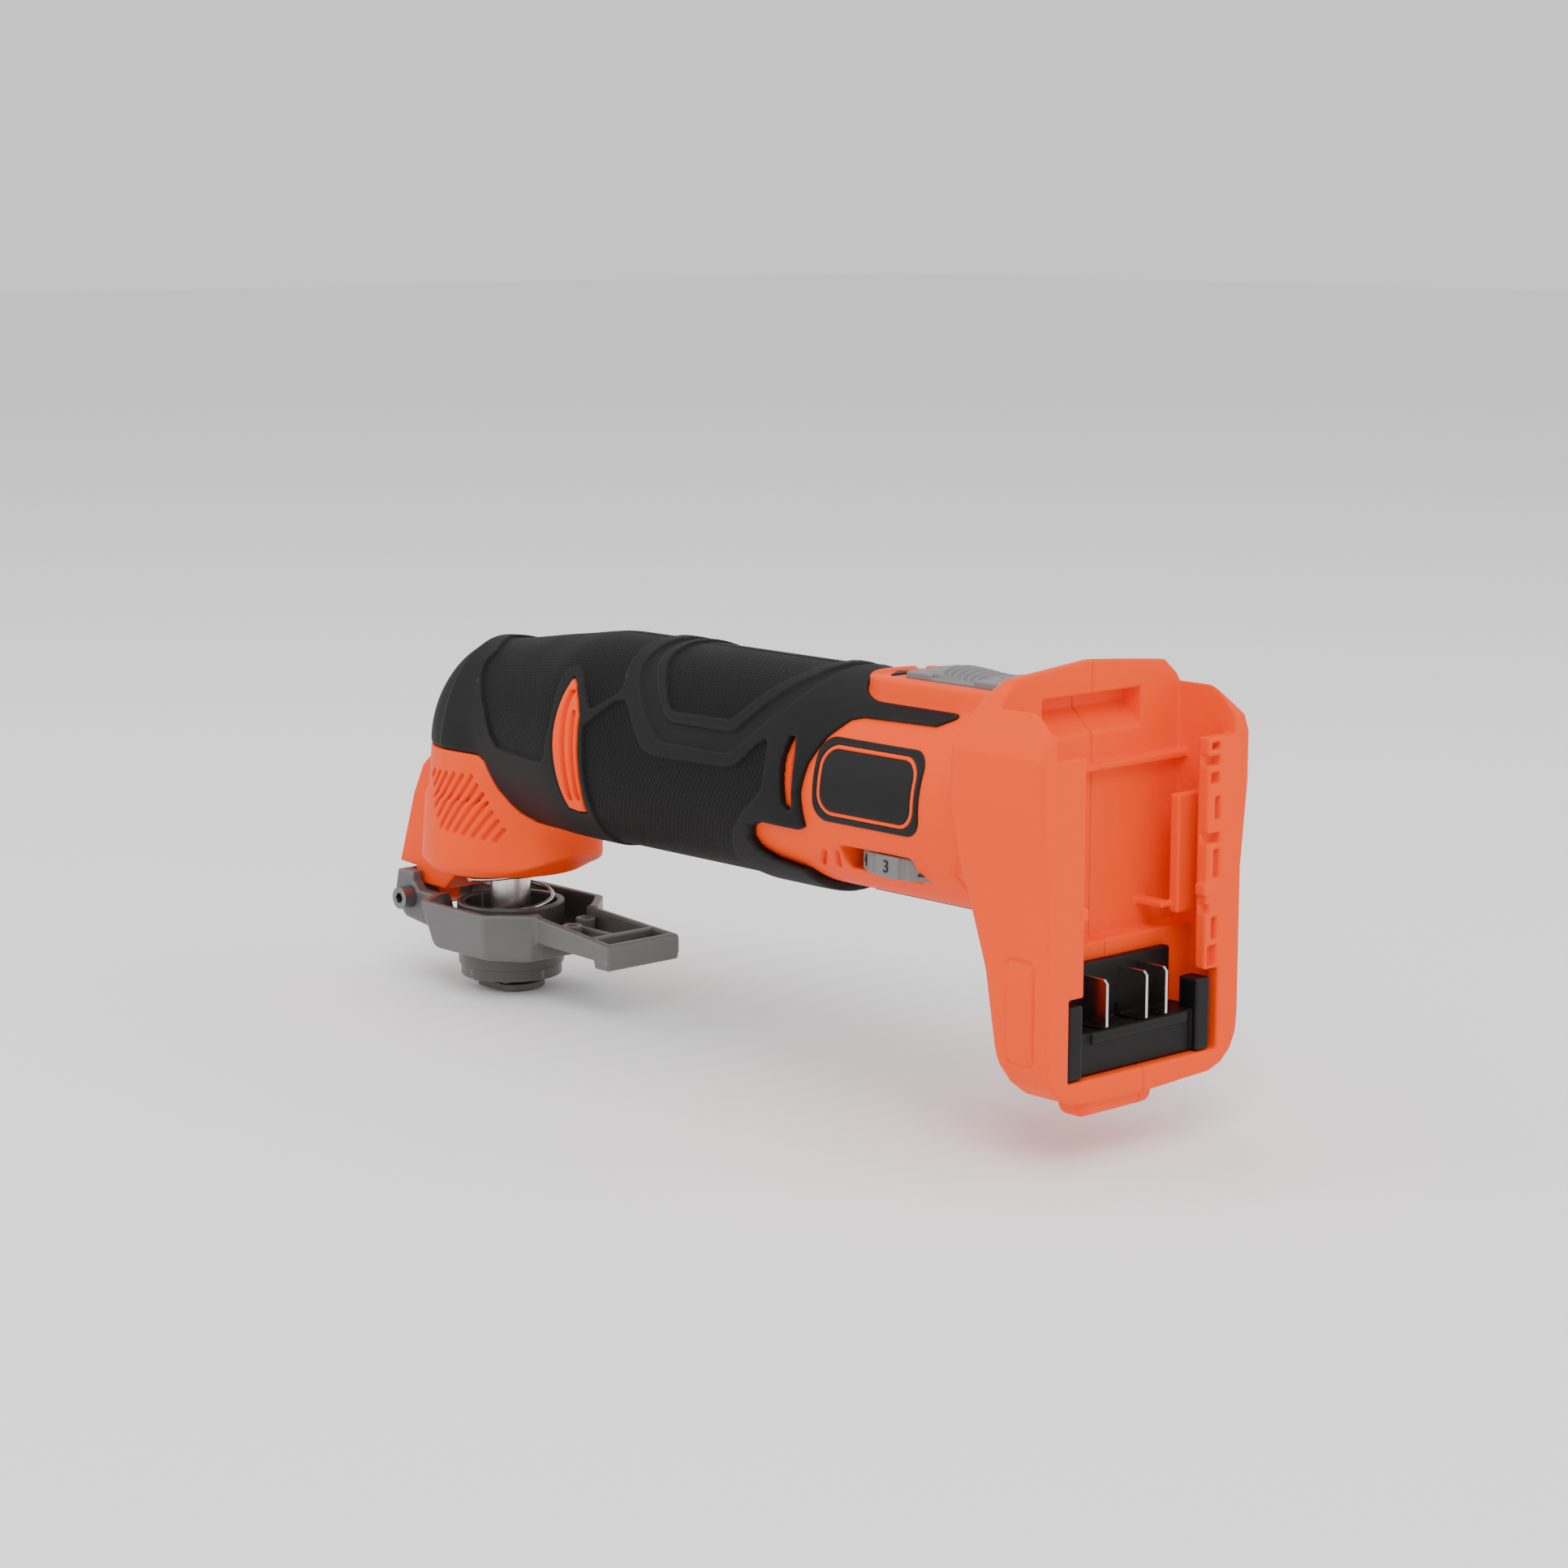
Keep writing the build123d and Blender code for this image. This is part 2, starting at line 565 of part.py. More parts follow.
def lever_arms():
    """Two arms that reach past the pivot bracket, joined by the stop bar in front of it."""
    profile = [
        (264, -57), (284, -56.6), (286.3, -54), (286.6, -51.0), (294.4, -51.0), (295.8, -57.4),
        (293.0, -64.0), (290.5, -65.8), (283, -66.6), (262, -69.5),
    ]
    arms = side_plate(profile, ARM_INNER, ARM_OUTER) + side_plate(profile, -ARM_OUTER, -ARM_INNER)
    stop = [(291.5, -51.0), (294.4, -51.0), (295.8, -57.4), (293.0, -64.0), (291.9, -64.6), (291.9, -56)]
    arms += side_plate(stop, -ARM_OUTER, ARM_OUTER)
    for side in (1, -1):
        arms += rod_y(2.9, side * (KNUCKLE_HALF + 0.4), side * ARM_OUTER, PIVOT_X, PIVOT_Z)
    return arms


def lever():
    """The squeeze lever: tub around the holder, handle behind it and pivot arms ahead."""
    tub = tub_loft(0, LEVER_BOTTOM, LEVER_TOP)
    tub += handle_solid(0, 0, 0)
    tub += block(HANDLE_END, HANDLE_END + 7, -HANDLE_HALF, HANDLE_HALF, -66.8, -62)
    tub += lever_arms()
    tub -= tub_loft(LEVER_WALL, LEVER_BOTTOM + LEVER_FLOOR, LEVER_TOP + 2)
    tub -= handle_solid(LEVER_WALL, 3, 1.8) & block(HANDLE_END + LEVER_WALL, 236, -20, 20, -80, -50)
    tub -= block(262, PIVOT_X + 3.8, -ARM_INNER, ARM_INNER, LEVER_BOTTOM + 6, -50) - pivot_bosses()
    tub -= rod_z(LIFT_HOLE_R, -75, -60)
    for side in (1, -1):
        lug = block(SPINDLE_X - 3, SPINDLE_X + 3, side * 15.0, side * 19.6, LEVER_BOTTOM, CUP_UNDER - 0.4)
        tub += lug
    tub += block(201, 203, -10.5, 10.5, -64.5, -58.2) + block(203, 226, -0.9, 0.9, -64.5, -59.5)
    tub -= rod_y(PIVOT_R + RUNNING_GAP, -20, 20, PIVOT_X, PIVOT_Z)
    return one(tub)


def pivot_bosses():
    """The lever's two bosses beside the knuckle."""
    left = rod_y(2.9, KNUCKLE_HALF + 0.4, ARM_OUTER, PIVOT_X, PIVOT_Z)
    return left + rod_y(2.9, -ARM_OUTER, -KNUCKLE_HALF - 0.4, PIVOT_X, PIVOT_Z)


def pivot_screw():
    """Cap screw that the lever turns on, head on the left."""
    head_in = ARM_OUTER + 0.2
    screw = rod_y(PIVOT_R, -ARM_OUTER - 3.2, head_in + 0.5, PIVOT_X, PIVOT_Z)
    screw += rod_y(3.4, head_in, head_in + 4, PIVOT_X, PIVOT_Z)
    socket = Pos(PIVOT_X, head_in + 4, PIVOT_Z) * Rot(90, 0, 0) * hex_pocket(3, 2.2)
    return screw - socket


def pivot_nut():
    """Lock nut on the right end of the pivot screw."""
    y = -ARM_OUTER - 0.2
    blank = Pos(PIVOT_X, y, PIVOT_Z) * Rot(90, 0, 0) * hex_pocket(7, 3.2)
    return blank - rod_y(PIVOT_R, -30, 0, PIVOT_X, PIVOT_Z)


# ---- motor ---------------------------------------------------------------------------------------
def motor_can():
    """Steel can of the motor, open at the rear."""
    can = rod_x(MOTOR_R, MOTOR_REAR, MOTOR_FRONT)
    can -= rod_x(MOTOR_R - CAN_WALL, MOTOR_REAR - 1, MOTOR_FRONT - 1.6)
    return can - rod_x(5.0, MOTOR_REAR, MOTOR_FRONT + 1)


def magnets():
    """Two arc magnets inside the can."""
    r_out = MOTOR_R - CAN_WALL
    ring = tube_x(r_out, r_out - MAGNET_THICK, MOTOR_REAR + 9, MOTOR_FRONT - 9)
    return ring - block(0, 300, -40, 40, -3, 3)


def armature():
    """Slotted iron core on the rotor shaft."""
    r = MOTOR_R - CAN_WALL - MAGNET_THICK - AIR_GAP
    core = rod_x(r, MOTOR_REAR + 14, MOTOR_FRONT - 14) - rod_x(SHAFT_R, 0, 300)
    for i in range(5):
        slot = block(0, 300, 7, 20, -2.0, 2.0)
        core -= Rot(72 * i, 0, 0) * slot
    return core


def windings():
    """Copper coils: end turns ahead of and behind the core, and bars in its slots."""
    rear = tube_x(10.5, SHAFT_R + 1, MOTOR_REAR + 9.5, MOTOR_REAR + 14)
    front = tube_x(10.5, SHAFT_R + 1, MOTOR_FRONT - 14, MOTOR_FRONT - 9.5)
    coils = rear + front
    for i in range(5):
        coils += Rot(72 * i, 0, 0) * block(MOTOR_REAR + 13, MOTOR_FRONT - 13, 7.3, 10.3, -1.8, 1.8)
    return coils


def commutator():
    """Copper commutator on the shaft, ahead of the rear bearing."""
    drum = tube_x(5.5, SHAFT_R, MOTOR_REAR + 0.5, MOTOR_REAR + 9)
    for i in range(5):
        drum -= Rot(72 * i + 36, 0, 0) * block(0, 300, 5.0, 8, -0.3, 0.3)
    return drum


def end_cap():
    """Moulded rear cap of the motor, with brush boxes and the rear bearing seat."""
    cap = rod_x(MOTOR_R - 0.2, MOTOR_REAR - 8, MOTOR_REAR) - rod_x(13.5, MOTOR_REAR - 6, MOTOR_REAR + 1)
    cap += tube_x(8.0, 6.5, MOTOR_REAR - 8, MOTOR_REAR - 1.6)
    cap += rod_x(MOTOR_R - CAN_WALL - 0.1, MOTOR_REAR, MOTOR_REAR + 7) - rod_x(7.0, MOTOR_REAR - 1, MOTOR_REAR + 8)
    cap -= rod_x(6.5, MOTOR_REAR - 6.5, MOTOR_REAR + 8)
    cap -= rod_x(4, MOTOR_REAR - 10, MOTOR_REAR)
    cap -= block(MOTOR_REAR + 1.4, MOTOR_REAR + 6.6, -20, 20, -2.6, 2.6)
    return one(cap)


def brushes():
    """Two carbon brushes against the commutator."""
    pair = []
    for side in (1, -1):
        bar = block(MOTOR_REAR + 1.5, MOTOR_REAR + 6.5, side * 5, side * 11, -2.5, 2.5)
        pair.append(bar - rod_x(5.6, 0, 300))
    return Compound(pair)


def brush_springs():
    """Two coil springs behind the brushes, as closed sleeves of their outer size."""
    pair = []
    for side in (1, -1):
        sleeve = rod_y(2.0, side * 11.1, side * 15.4, MOTOR_REAR + 4, 0)
        pair.append(sleeve - rod_y(1.3, side * 11.0, side * 15.5, MOTOR_REAR + 4, 0))
    return Compound(pair)


def fan():
    """Radial cooling fan ahead of the motor."""
    wheel = rod_x(FAN_R, FAN_X, FAN_X + 1.6) + rod_x(6, FAN_X, FAN_X + FAN_THICK)
    for i in range(FAN_BLADES):
        blade = block(FAN_X, FAN_X + FAN_THICK, 5.5, FAN_R - 0.5, -0.6, 0.6)
        wheel += Rot(360 / FAN_BLADES * i, 0, 0) * blade
    return wheel - rod_x(SHAFT_R, FAN_X - 1, FAN_X + FAN_THICK + 1)


def rotor_shaft():
    """Motor shaft with the eccentric journal at its front end."""
    return rod_x(SHAFT_R, SHAFT_REAR, SHAFT_FRONT)


def eccentric():
    """Off-centre bush that carries the eccentric bearing."""
    bush = rod_x(4.0, ECC_X - 3.4, ECC_X + 3.4, 0, ECCENTRICITY)
    return bush - rod_x(SHAFT_R, ECC_X - 5, ECC_X + 5)


def eccentric_bearing():
    """Ball bearing on the eccentric bush, between the fork's fingers."""
    ring = Rot(0, 90, 0) * ball_bearing(4.0, ECC_BEARING_R, ECC_BEARING_WIDTH)
    return Pos(ECC_X, 0, ECCENTRICITY) * ring


def counterweight():
    """Half-round brass weight that balances the eccentric."""
    disc = rod_x(14.0, 204, 208.5) & block(190, 230, -20, 20, -20, -1)
    return disc + rod_x(5.5, 204, 208.5) - rod_x(SHAFT_R, 190, 220)


def shaft_bearing(x, r_out, width):
    """Ball bearing on the motor shaft."""
    return Pos(x, 0, 0) * Rot(0, 90, 0) * ball_bearing(SHAFT_R, r_out, width)


# ---- controls and electrics ----------------------------------------------------------------------
def slider():
    """Switch slider: thumb ramp with curved ridges, flat side steps, and a stem below."""
    mid = (SLIDER_REAR + SLIDER_FRONT) / 2
    low = SLOT_FLOOR + 0.3
    base = block(SLIDER_REAR, SLIDER_FRONT, -SLIDER_HALF, SLIDER_HALF, low, 30.2)
    ramp = [
        (SLIDER_REAR + 1, 30), (SLIDER_REAR + 3, 31.0), (mid - 4, 31.4), (mid + 1, 32.6),
        (mid + 8, 33.2), (SLIDER_FRONT - 3, 32.2), (SLIDER_FRONT, 30.6), (SLIDER_FRONT, 30),
    ]
    thumb = side_plate(ramp, -SLIDER_HALF + 1.6, SLIDER_HALF - 1.6)
    body = base + thumb
    for i in range(6):
        body -= block(mid - 4.5 + 1.9 * i, mid - 3.8 + 1.9 * i, -6.5, 6.5, 31.1 + 0.28 * i, 35)
    return body + block(55, 61, -3, 3, 19.2, low)


def switch_body():
    """Slide switch under the slider."""
    case = block(48, 78, -7, 7, 6.5, 18.4)
    return case - block(53, 55 + 8 + SLIDER_TRAVEL, -3.3, 3.3, 16, 19)


def speed_dial():
    """Thumbwheel with flat facets around its rim."""
    r = DIAL_R
    wheel = Cylinder(r, DIAL_THICK)
    facets = extrude(RegularPolygon(r * cos(pi / DIAL_FACETS) + 0.3, DIAL_FACETS, major_radius=False), DIAL_THICK)
    wheel &= Pos(0, 0, -DIAL_THICK / 2) * facets
    for i in range(DIAL_FACETS):
        notch = Pos(r, 0, 0) * Cylinder(0.9, DIAL_THICK + 2)
        wheel -= Rot(0, 0, 30 * i) * notch
    wheel -= Cylinder(2.0, DIAL_THICK + 2)
    return Pos(DIAL_X, DIAL_Y, DIAL_Z) * Rot(0, 0, 15) * wheel


def dial_sensor():
    """Potentiometer that carries the dial."""
    base = rod_z(6.5, DIAL_Z + DIAL_THICK / 2 + 0.5, DIAL_Z + DIAL_THICK / 2 + 5.5, DIAL_X, DIAL_Y)
    return base + rod_z(1.95, DIAL_Z - DIAL_THICK / 2, DIAL_Z + DIAL_THICK / 2 + 1, DIAL_X, DIAL_Y)


def control_board():
    """Motor control board with its power transistor and capacitor."""
    board = block(50, 90, -16, 16, -4.2, -2.6)
    board += block(78, 88, -12, -4, -2.6, 3)
    return board + rod_z(4, -2.6, 5, 84, 6)


def terminal_block():
    """Moulded carrier of the battery terminals, with a post on each side."""
    carrier = block(3.6, 13.3, -26, 26, -59.6, -49) + block(9, 13.3, -26, 26, -50, -33)
    for side in (1, -1):
        carrier += block(0.4, 9, side * 22.5, side * 27.2, -59.6, -41)
    carrier += block(0.4, 4, -20, 20, -58, -50)
    for y in blade_places():
        carrier -= block(0, 11, y - 0.42, y + 0.42, -60, -30)
    return one(carrier)


def blade_places():
    """Where the battery blades stand across the foot."""
    return (13, -1.5, -8.8)


def terminal_blades():
    """Upright steel blades with bevelled tips."""
    profile = [(0.8, -48), (0.8, -37.2), (1.8, -36.2), (10.9, -36.2), (10.9, -48)]
    return Compound([side_plate(profile, y - 0.4, y + 0.4) for y in blade_places()])


def lead(y, z, x0, x1):
    """An insulated lead lying straight along the tool."""
    return rod_x(1.3, x0, x1, y, z)


def power_leads():
    """The four leads between the control board, the switch and the motor."""
    return Compound([lead(y, z, 79, 97.5) for y, z in ((-9, 9), (-3, 11), (3, 11), (9, 9))])


def badge(side):
    """Blank badge plate on the side of the housing."""
    plate = Pos(BADGE_X, 0, BADGE_Z) * Rot(90, 0, 0) * extrude(RectangleRounded(39, 22, 5), 40, both=True)
    skin = tube_x(SHELL_R + 0.6, SHELL_R + 0.02, 40, 100)
    return one(skin & plate & block(0, 200, 0, side * 60, -60, 60))


def neck_vent(side):
    """Orange vent insert in the neck, with two long slots."""
    plug = side_plate(vent_outline(0), side * 18, side * 40) & (body_form(0) - body_form(GRIP_SKIN + SHELL_WALL - 0.2))
    for x, half_slot in ((187.6, 9), (191.8, 14)):
        plug -= block(x - 0.7, x + 0.7, -60, 60, -half_slot, half_slot)
    return one(plug)


def bottom_plate():
    """Blank dark plate on the underside of the rear body."""
    skin = tube_x(SHELL_R + 0.4, SHELL_R + 0.02, 42, 88)
    return skin & block(0, 200, -8, 8, -60, 0)


def shell_screws():
    """Self-tapping screws through the right shell."""
    group = []
    for x, z in screw_places():
        screw = rod_y(SCREW_R, -11, 5, x, z) + rod_y(SCREW_HEAD_R, -11, -9.2, x, z)
        group.append(screw - Pos(x, -11, z) * Rot(-90, 0, 0) * Box(3, 0.8, 1.2))
    return Compound(group)


def nose_screws():
    """Two screws that hold the nose to the gearcase."""
    group = []
    for side in (1, -1):
        group.append(rod_z(SCREW_R, NOSE_BOTTOM, -41, SPINDLE_X, side * NOSE_SCREW_Y))
    return Compound(group)


def spring_seat():
    """Steel ring that the spring presses against."""
    return tube_z(14.8, 6.6, -45.9, -44.6)


# ---- output --------------------------------------------------------------------------------------
def save(name, shape):
    """Write one node with the origin at the accessory face on the spindle axis."""
    placed = Pos(-SPINDLE_X, 0, -HOLDER_FACE) * shape
    export_step(placed, os.path.join(PARTS, name + ".step"))


def main():
    """Build every piece and write it."""
    os.makedirs(PARTS, exist_ok=True)
    shell = shell_whole()
    grip = soft_grip()
    grip -= switch_pad_room()
    for vent in window_boxes():
        grip -= vent
    for side, word in ((1, "left"), (-1, "right")):
        save("housing_" + word, half(shell, side))
        save("grip_" + word, half(grip, side))
        save("badge_" + word, badge(side))
        save("neck_vent_" + word, neck_vent(side))
    save("nose_cover", nose_cover())
    save("gearcase", gearcase())
    save("spindle", spindle())
    save("spindle_upper_bearing", Pos(SPINDLE_X, 0, 1.8) * ball_bearing(3.0, 9.5, 6))
    save("spindle_lower_bearing", Pos(SPINDLE_X, 0, -40) * ball_bearing(6.0, 14.0, 7.8))
    save("drive_fork", drive_fork())
    save("accessory_holder", holder())
    save("lever_spring", lever_spring())
    save("spring_seat", spring_seat())
    save("squeeze_lever", lever())
    save("pivot_screw", pivot_screw())
    save("pivot_nut", pivot_nut())
    save("motor_can", motor_can())
    save("motor_magnets", magnets())
    save("motor_end_cap", end_cap())
    save("motor_brushes", brushes())
    save("brush_springs", brush_springs())
    save("rotor_shaft", rotor_shaft())
    save("armature_core", armature())
    save("armature_windings", windings())
    save("commutator", commutator())
    save("motor_rear_bearing", shaft_bearing(MOTOR_REAR - 4, 6.5, 4))
    save("motor_front_bearing", shaft_bearing(181, 9.4, 6))
    save("cooling_fan", fan())
    save("eccentric", eccentric())
    save("eccentric_bearing", eccentric_bearing())
    save("counterweight", counterweight())
    save("switch_slider", slider())
    save("switch_body", switch_body())
    save("speed_dial", speed_dial())
    save("dial_sensor", dial_sensor())
    save("control_board", control_board())
    save("terminal_block", terminal_block())
    save("terminal_blades", terminal_blades())
    save("power_leads", power_leads())
    save("bottom_plate", bottom_plate())
    save("shell_screws", shell_screws())
    save("nose_screws", nose_screws())


main()
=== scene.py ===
"""Cordless oscillating multi-tool: skins, finishes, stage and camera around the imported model.

Form functions work in millimetres in the tool's own axes: X from the rear rim towards the head,
Y to the user's left, Z up from the motor axis. placed() turns them into the frame's metres.
"""

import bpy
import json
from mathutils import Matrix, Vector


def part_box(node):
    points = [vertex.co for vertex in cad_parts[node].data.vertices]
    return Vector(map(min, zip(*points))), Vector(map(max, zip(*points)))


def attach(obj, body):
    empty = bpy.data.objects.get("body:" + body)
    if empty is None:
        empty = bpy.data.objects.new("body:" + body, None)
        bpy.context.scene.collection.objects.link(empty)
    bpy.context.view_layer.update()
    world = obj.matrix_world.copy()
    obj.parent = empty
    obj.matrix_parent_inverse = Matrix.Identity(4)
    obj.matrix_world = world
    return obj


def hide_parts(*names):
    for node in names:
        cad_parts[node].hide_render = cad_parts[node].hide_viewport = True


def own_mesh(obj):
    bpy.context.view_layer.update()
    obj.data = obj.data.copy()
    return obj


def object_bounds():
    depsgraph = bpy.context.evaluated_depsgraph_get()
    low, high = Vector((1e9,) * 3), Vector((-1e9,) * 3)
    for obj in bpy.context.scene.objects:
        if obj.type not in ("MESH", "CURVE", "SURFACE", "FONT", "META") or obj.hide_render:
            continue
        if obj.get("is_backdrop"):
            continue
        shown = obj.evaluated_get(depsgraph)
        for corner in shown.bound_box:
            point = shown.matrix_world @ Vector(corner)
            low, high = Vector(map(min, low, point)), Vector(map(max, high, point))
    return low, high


bl_info = {
    "name": "Oscillating multi-tool",
    "version": (1, 0, 0),
    "blender": (4, 5, 0),
    "location": "View3D > Sidebar > Multi-tool",
    "description": "Skins, finishes and stage of a cordless oscillating multi-tool",
    "category": "Add Mesh",
}

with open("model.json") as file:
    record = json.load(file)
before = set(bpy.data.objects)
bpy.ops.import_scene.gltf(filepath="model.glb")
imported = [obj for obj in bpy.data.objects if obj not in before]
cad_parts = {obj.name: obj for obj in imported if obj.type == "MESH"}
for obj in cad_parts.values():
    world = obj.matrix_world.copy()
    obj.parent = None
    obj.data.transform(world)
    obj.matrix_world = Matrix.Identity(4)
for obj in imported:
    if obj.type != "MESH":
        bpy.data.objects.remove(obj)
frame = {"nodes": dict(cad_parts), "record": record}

import json
import math

import bpy
import numpy as np
from bpy.props import FloatProperty, FloatVectorProperty, IntProperty, PointerProperty
from bpy.types import Operator, Panel, PropertyGroup
from mathutils import Matrix, Vector

SPINDLE_X = 254.5
FACE_Z = -78.9
GRIP_R = 31.0
SHELL_R = 28.2
PIVOT = (288.0, -59.0)
RAIL_INNER = 22.3            # battery rails, from the middle to their inner edges
RAIL_OUTER = 27.5
ROOM_HALF = 32.4             # half width of the rooms inside the battery foot
ROOM_FRONT = 19.0            # their front wall
FRAME_TOP = 30.6             # raised frame around the switch
FRAME_HALF = 15.0
FRAME_FRONT = 77.0
TRAY_FLOOR = 29.7
BADGE_MIDDLE = (71.2, 4.5)
BADGE_HALF = (19.4, 10.9)
BADGE_CORNER = 5.0
EYE = (-556.464, 630.139, 156.004)      # the camera fitted to the photograph
EYE_TURN, EYE_DROP = math.radians(42.45), math.radians(9.83)
EYE_LENS = 79.56


# ---- sizes and colours ---------------------------------------------------------------------------
def length(name, description, default, low=0.0, high=1.0):
    """A length property in metres."""
    return FloatProperty(name=name, description=description, default=default, min=low, max=high,
                         unit="LENGTH", subtype="DISTANCE", precision=5)


def colour(name, description, default):
    """A linear colour property."""
    return FloatVectorProperty(name=name, description=description, default=default, min=0.0, max=1.0,
                               size=3, subtype="COLOR")


class ToolSizes(PropertyGroup):
    """Sizes of the skins and their surface detail."""
    skin_step: length("Skin grid", "Spacing of the mesh on the large skins", 0.00055, 0.0002, 0.003)
    fine_step: length("Fine grid", "Spacing of the mesh on small pieces", 0.0004, 0.0002, 0.003)
    panel_depth: length("Panel depth", "How far the textured grip panels lie below the bands", 0.0008)
    valley_depth: length("Valley depth", "Depth of the smooth valley around the upper panel", 0.0011)
    dot_pitch: length("Dot pitch", "Spacing of the raised dots on the grip panels", 0.0016, 0.0004, 0.01)
    louvres: IntProperty(name="Louvres", description="Cooling slots on each side of the nose", default=12,
                         min=1, max=20)
    spring_wire: length("Spring wire", "Wire of the coil spring under the nose", 0.0012, 0.0005, 0.004)
    spring_width: length("Spring width", "Outside diameter of the coil spring", 0.0266, 0.01, 0.05)


class ToolColours(PropertyGroup):
    """Base colours of the mouldings."""
    orange: colour("Orange", "Hard orange plastic", (0.93, 0.066, 0.001))
    grip: colour("Grip", "Soft black moulding", (0.007, 0.007, 0.0072))
    black: colour("Black", "Hard black plastic", (0.004, 0.004, 0.0042))
    lever: colour("Lever", "Dark grey squeeze lever", (0.105, 0.102, 0.102))
    holder: colour("Holder", "Dark grey accessory holder", (0.085, 0.083, 0.083))
    slider: colour("Slider", "Grey switch slider", (0.165, 0.165, 0.165))
    dial: colour("Dial", "Grey speed dial", (0.15, 0.148, 0.145))
    fan: colour("Fan", "Cooling fan", (0.03, 0.03, 0.032))


# ---- form arithmetic: signed distances in millimetres, negative inside ----------------------------
def smooth_min(a, b, k):
    h = np.maximum(k - np.abs(a - b), 0.0) / k
    return np.minimum(a, b) - h * h * k * 0.25


def smooth_max(a, b, k):
    return -smooth_min(-a, -b, k)


def step_in(distance, soft=0.35):
    """1 inside an outline and 0 outside, with a soft edge."""
    t = np.clip((soft - distance) / (2 * soft), 0.0, 1.0)
    return t * t * (3 - 2 * t)


def box_form(x, y, z, low, high, r=0.0):
    """A box between two corners with rounded edges."""
    q = [np.abs(c - (a + b) / 2) - (b - a) / 2 + r for c, a, b in zip((x, y, z), low, high)]
    outside = np.sqrt(sum(np.maximum(c, 0.0) ** 2 for c in q))
    return outside + np.minimum(np.maximum(np.maximum(q[0], q[1]), q[2]), 0.0) - r


def joined_boxes(x, y, z, rows):
    """Rounded boxes given as (low corner, high corner, rounding), joined without a blend."""
    joined = box_form(x, y, z, *rows[0])
    for row in rows[1:]:
        joined = np.minimum(joined, box_form(x, y, z, *row))
    return joined


def outline_form(u, v, points):
    """Distance to a closed outline in a plane."""
    nearest = np.full(u.shape, 1e9, u.dtype)
    sign = np.ones(u.shape, u.dtype)
    for i, (ax, ay) in enumerate(points):
        bx, by = points[i - 1]
        ex, ey = bx - ax, by - ay
        wx, wy = u - ax, v - ay
        t = np.clip((wx * ex + wy * ey) / (ex * ex + ey * ey), 0.0, 1.0)
        nearest = np.minimum(nearest, (wx - ex * t) ** 2 + (wy - ey * t) ** 2)
        above, below, turn = v >= ay, v < by, ex * wy > ey * wx
        sign = np.where((above & below & turn) | (~above & ~below & ~turn), -sign, sign)
    return sign * np.sqrt(nearest)


def line_form(u, v, points):
    """Distance to an open line in a plane."""
    nearest = np.full(u.shape, 1e9, u.dtype)
    for (ax, ay), (bx, by) in zip(points, points[1:]):
        ex, ey = bx - ax, by - ay
        t = np.clip(((u - ax) * ex + (v - ay) * ey) / (ex * ex + ey * ey), 0.0, 1.0)
        nearest = np.minimum(nearest, (u - ax - ex * t) ** 2 + (v - ay - ey * t) ** 2)
    return np.sqrt(nearest)


def rod_form(a, b, along, r, start, end):
    """A rod about the origin of (a, b), between two places along its axis."""
    return smooth_max(np.hypot(a, b) - r, np.abs(along - (start + end) / 2) - (end - start) / 2, 0.4)


def eased(places, values, soft):
    """A table whose corners are rounded over a length."""
    fine = np.arange(places[0] - 4 * soft, places[-1] + 4 * soft, 0.5)
    reach = np.arange(-3 * soft, 3 * soft + 0.1, 0.5)
    weight = np.exp(-0.5 * (reach / soft) ** 2)
    padded = np.pad(np.interp(fine, places, values), len(reach) // 2, mode="edge")
    return fine, np.convolve(padded, weight / weight.sum(), "valid")


# Height of the back, half width and depth of the barrel and neck, along the tool.
BACK = eased([19, 88, 100, 104, 168, 200, 205, 215, 226, 236, 247, 257],
             [29.2, 29.2, 30.6, 31, 31, 31, 30.3, 28.8, 27.4, 25.8, 24.3, 21.9], 3.0)
FLANK = eased([19, 88, 102, 200, SPINDLE_X], [29.2, 29.2, 31, 31, 20.8], 4.0)
BELLY = eased([19, 88, 102, 257], [29.2, 29.2, 31, 31], 4.0)
SKIRT_Z = [-46, -7.5]
SKIRT_R = [25.8, 23.0]


def barrel_form(x, y, z, inset=0.0):
    """The barrel and the neck that tapers to the spindle axis."""
    w = np.interp(x, *FLANK) - inset
    r = np.where(z > 0, np.interp(x, *BACK), np.interp(x, *BELLY)) - inset
    k = np.sqrt((y / w) ** 2 + (z / r) ** 2) + 1e-6
    return (k - 1) * k / np.sqrt((y / w ** 2) ** 2 + (z / r ** 2) ** 2 + 1e-9)


def head_form(x, y, z, inset=0.0):
    """The domed head above the nose skirt."""
    rho = np.hypot(x - SPINDLE_X, y) + 1e-4
    t = z + 7.5
    a, b, p = 23.0 - inset, 30.2 - inset, 1.85
    u, v = rho / a, np.maximum(t, 1e-4) / b
    f = (u ** p + v ** p) ** (1 / p) + 1e-6
    dome = (f - 1) / np.hypot((u / f) ** (p - 1) / a, (v / f) ** (p - 1) / b)
    skirt = rho - (np.interp(z, SKIRT_Z, SKIRT_R) - inset)
    return np.where(t > 0, dome, skirt)


def tail_form(x, y, z, inset=0.0):
    """The nose skirt with its narrower rounded tail, as a plan that leans with the skirt."""
    wide = np.interp(z, SKIRT_Z, SKIRT_R) - inset
    narrow, reach = 15.0 - inset, 20.5
    across, back = np.abs(y), SPINDLE_X - x
    b = (wide - narrow) / reach
    a = np.sqrt(1 - b * b)
    k = -b * across + a * back
    round_tail = np.hypot(across, back - reach) - narrow
    return np.where(k < 0, np.hypot(across, back) - wide,
                    np.where(k > a * reach, round_tail, across * a + back * b - wide))


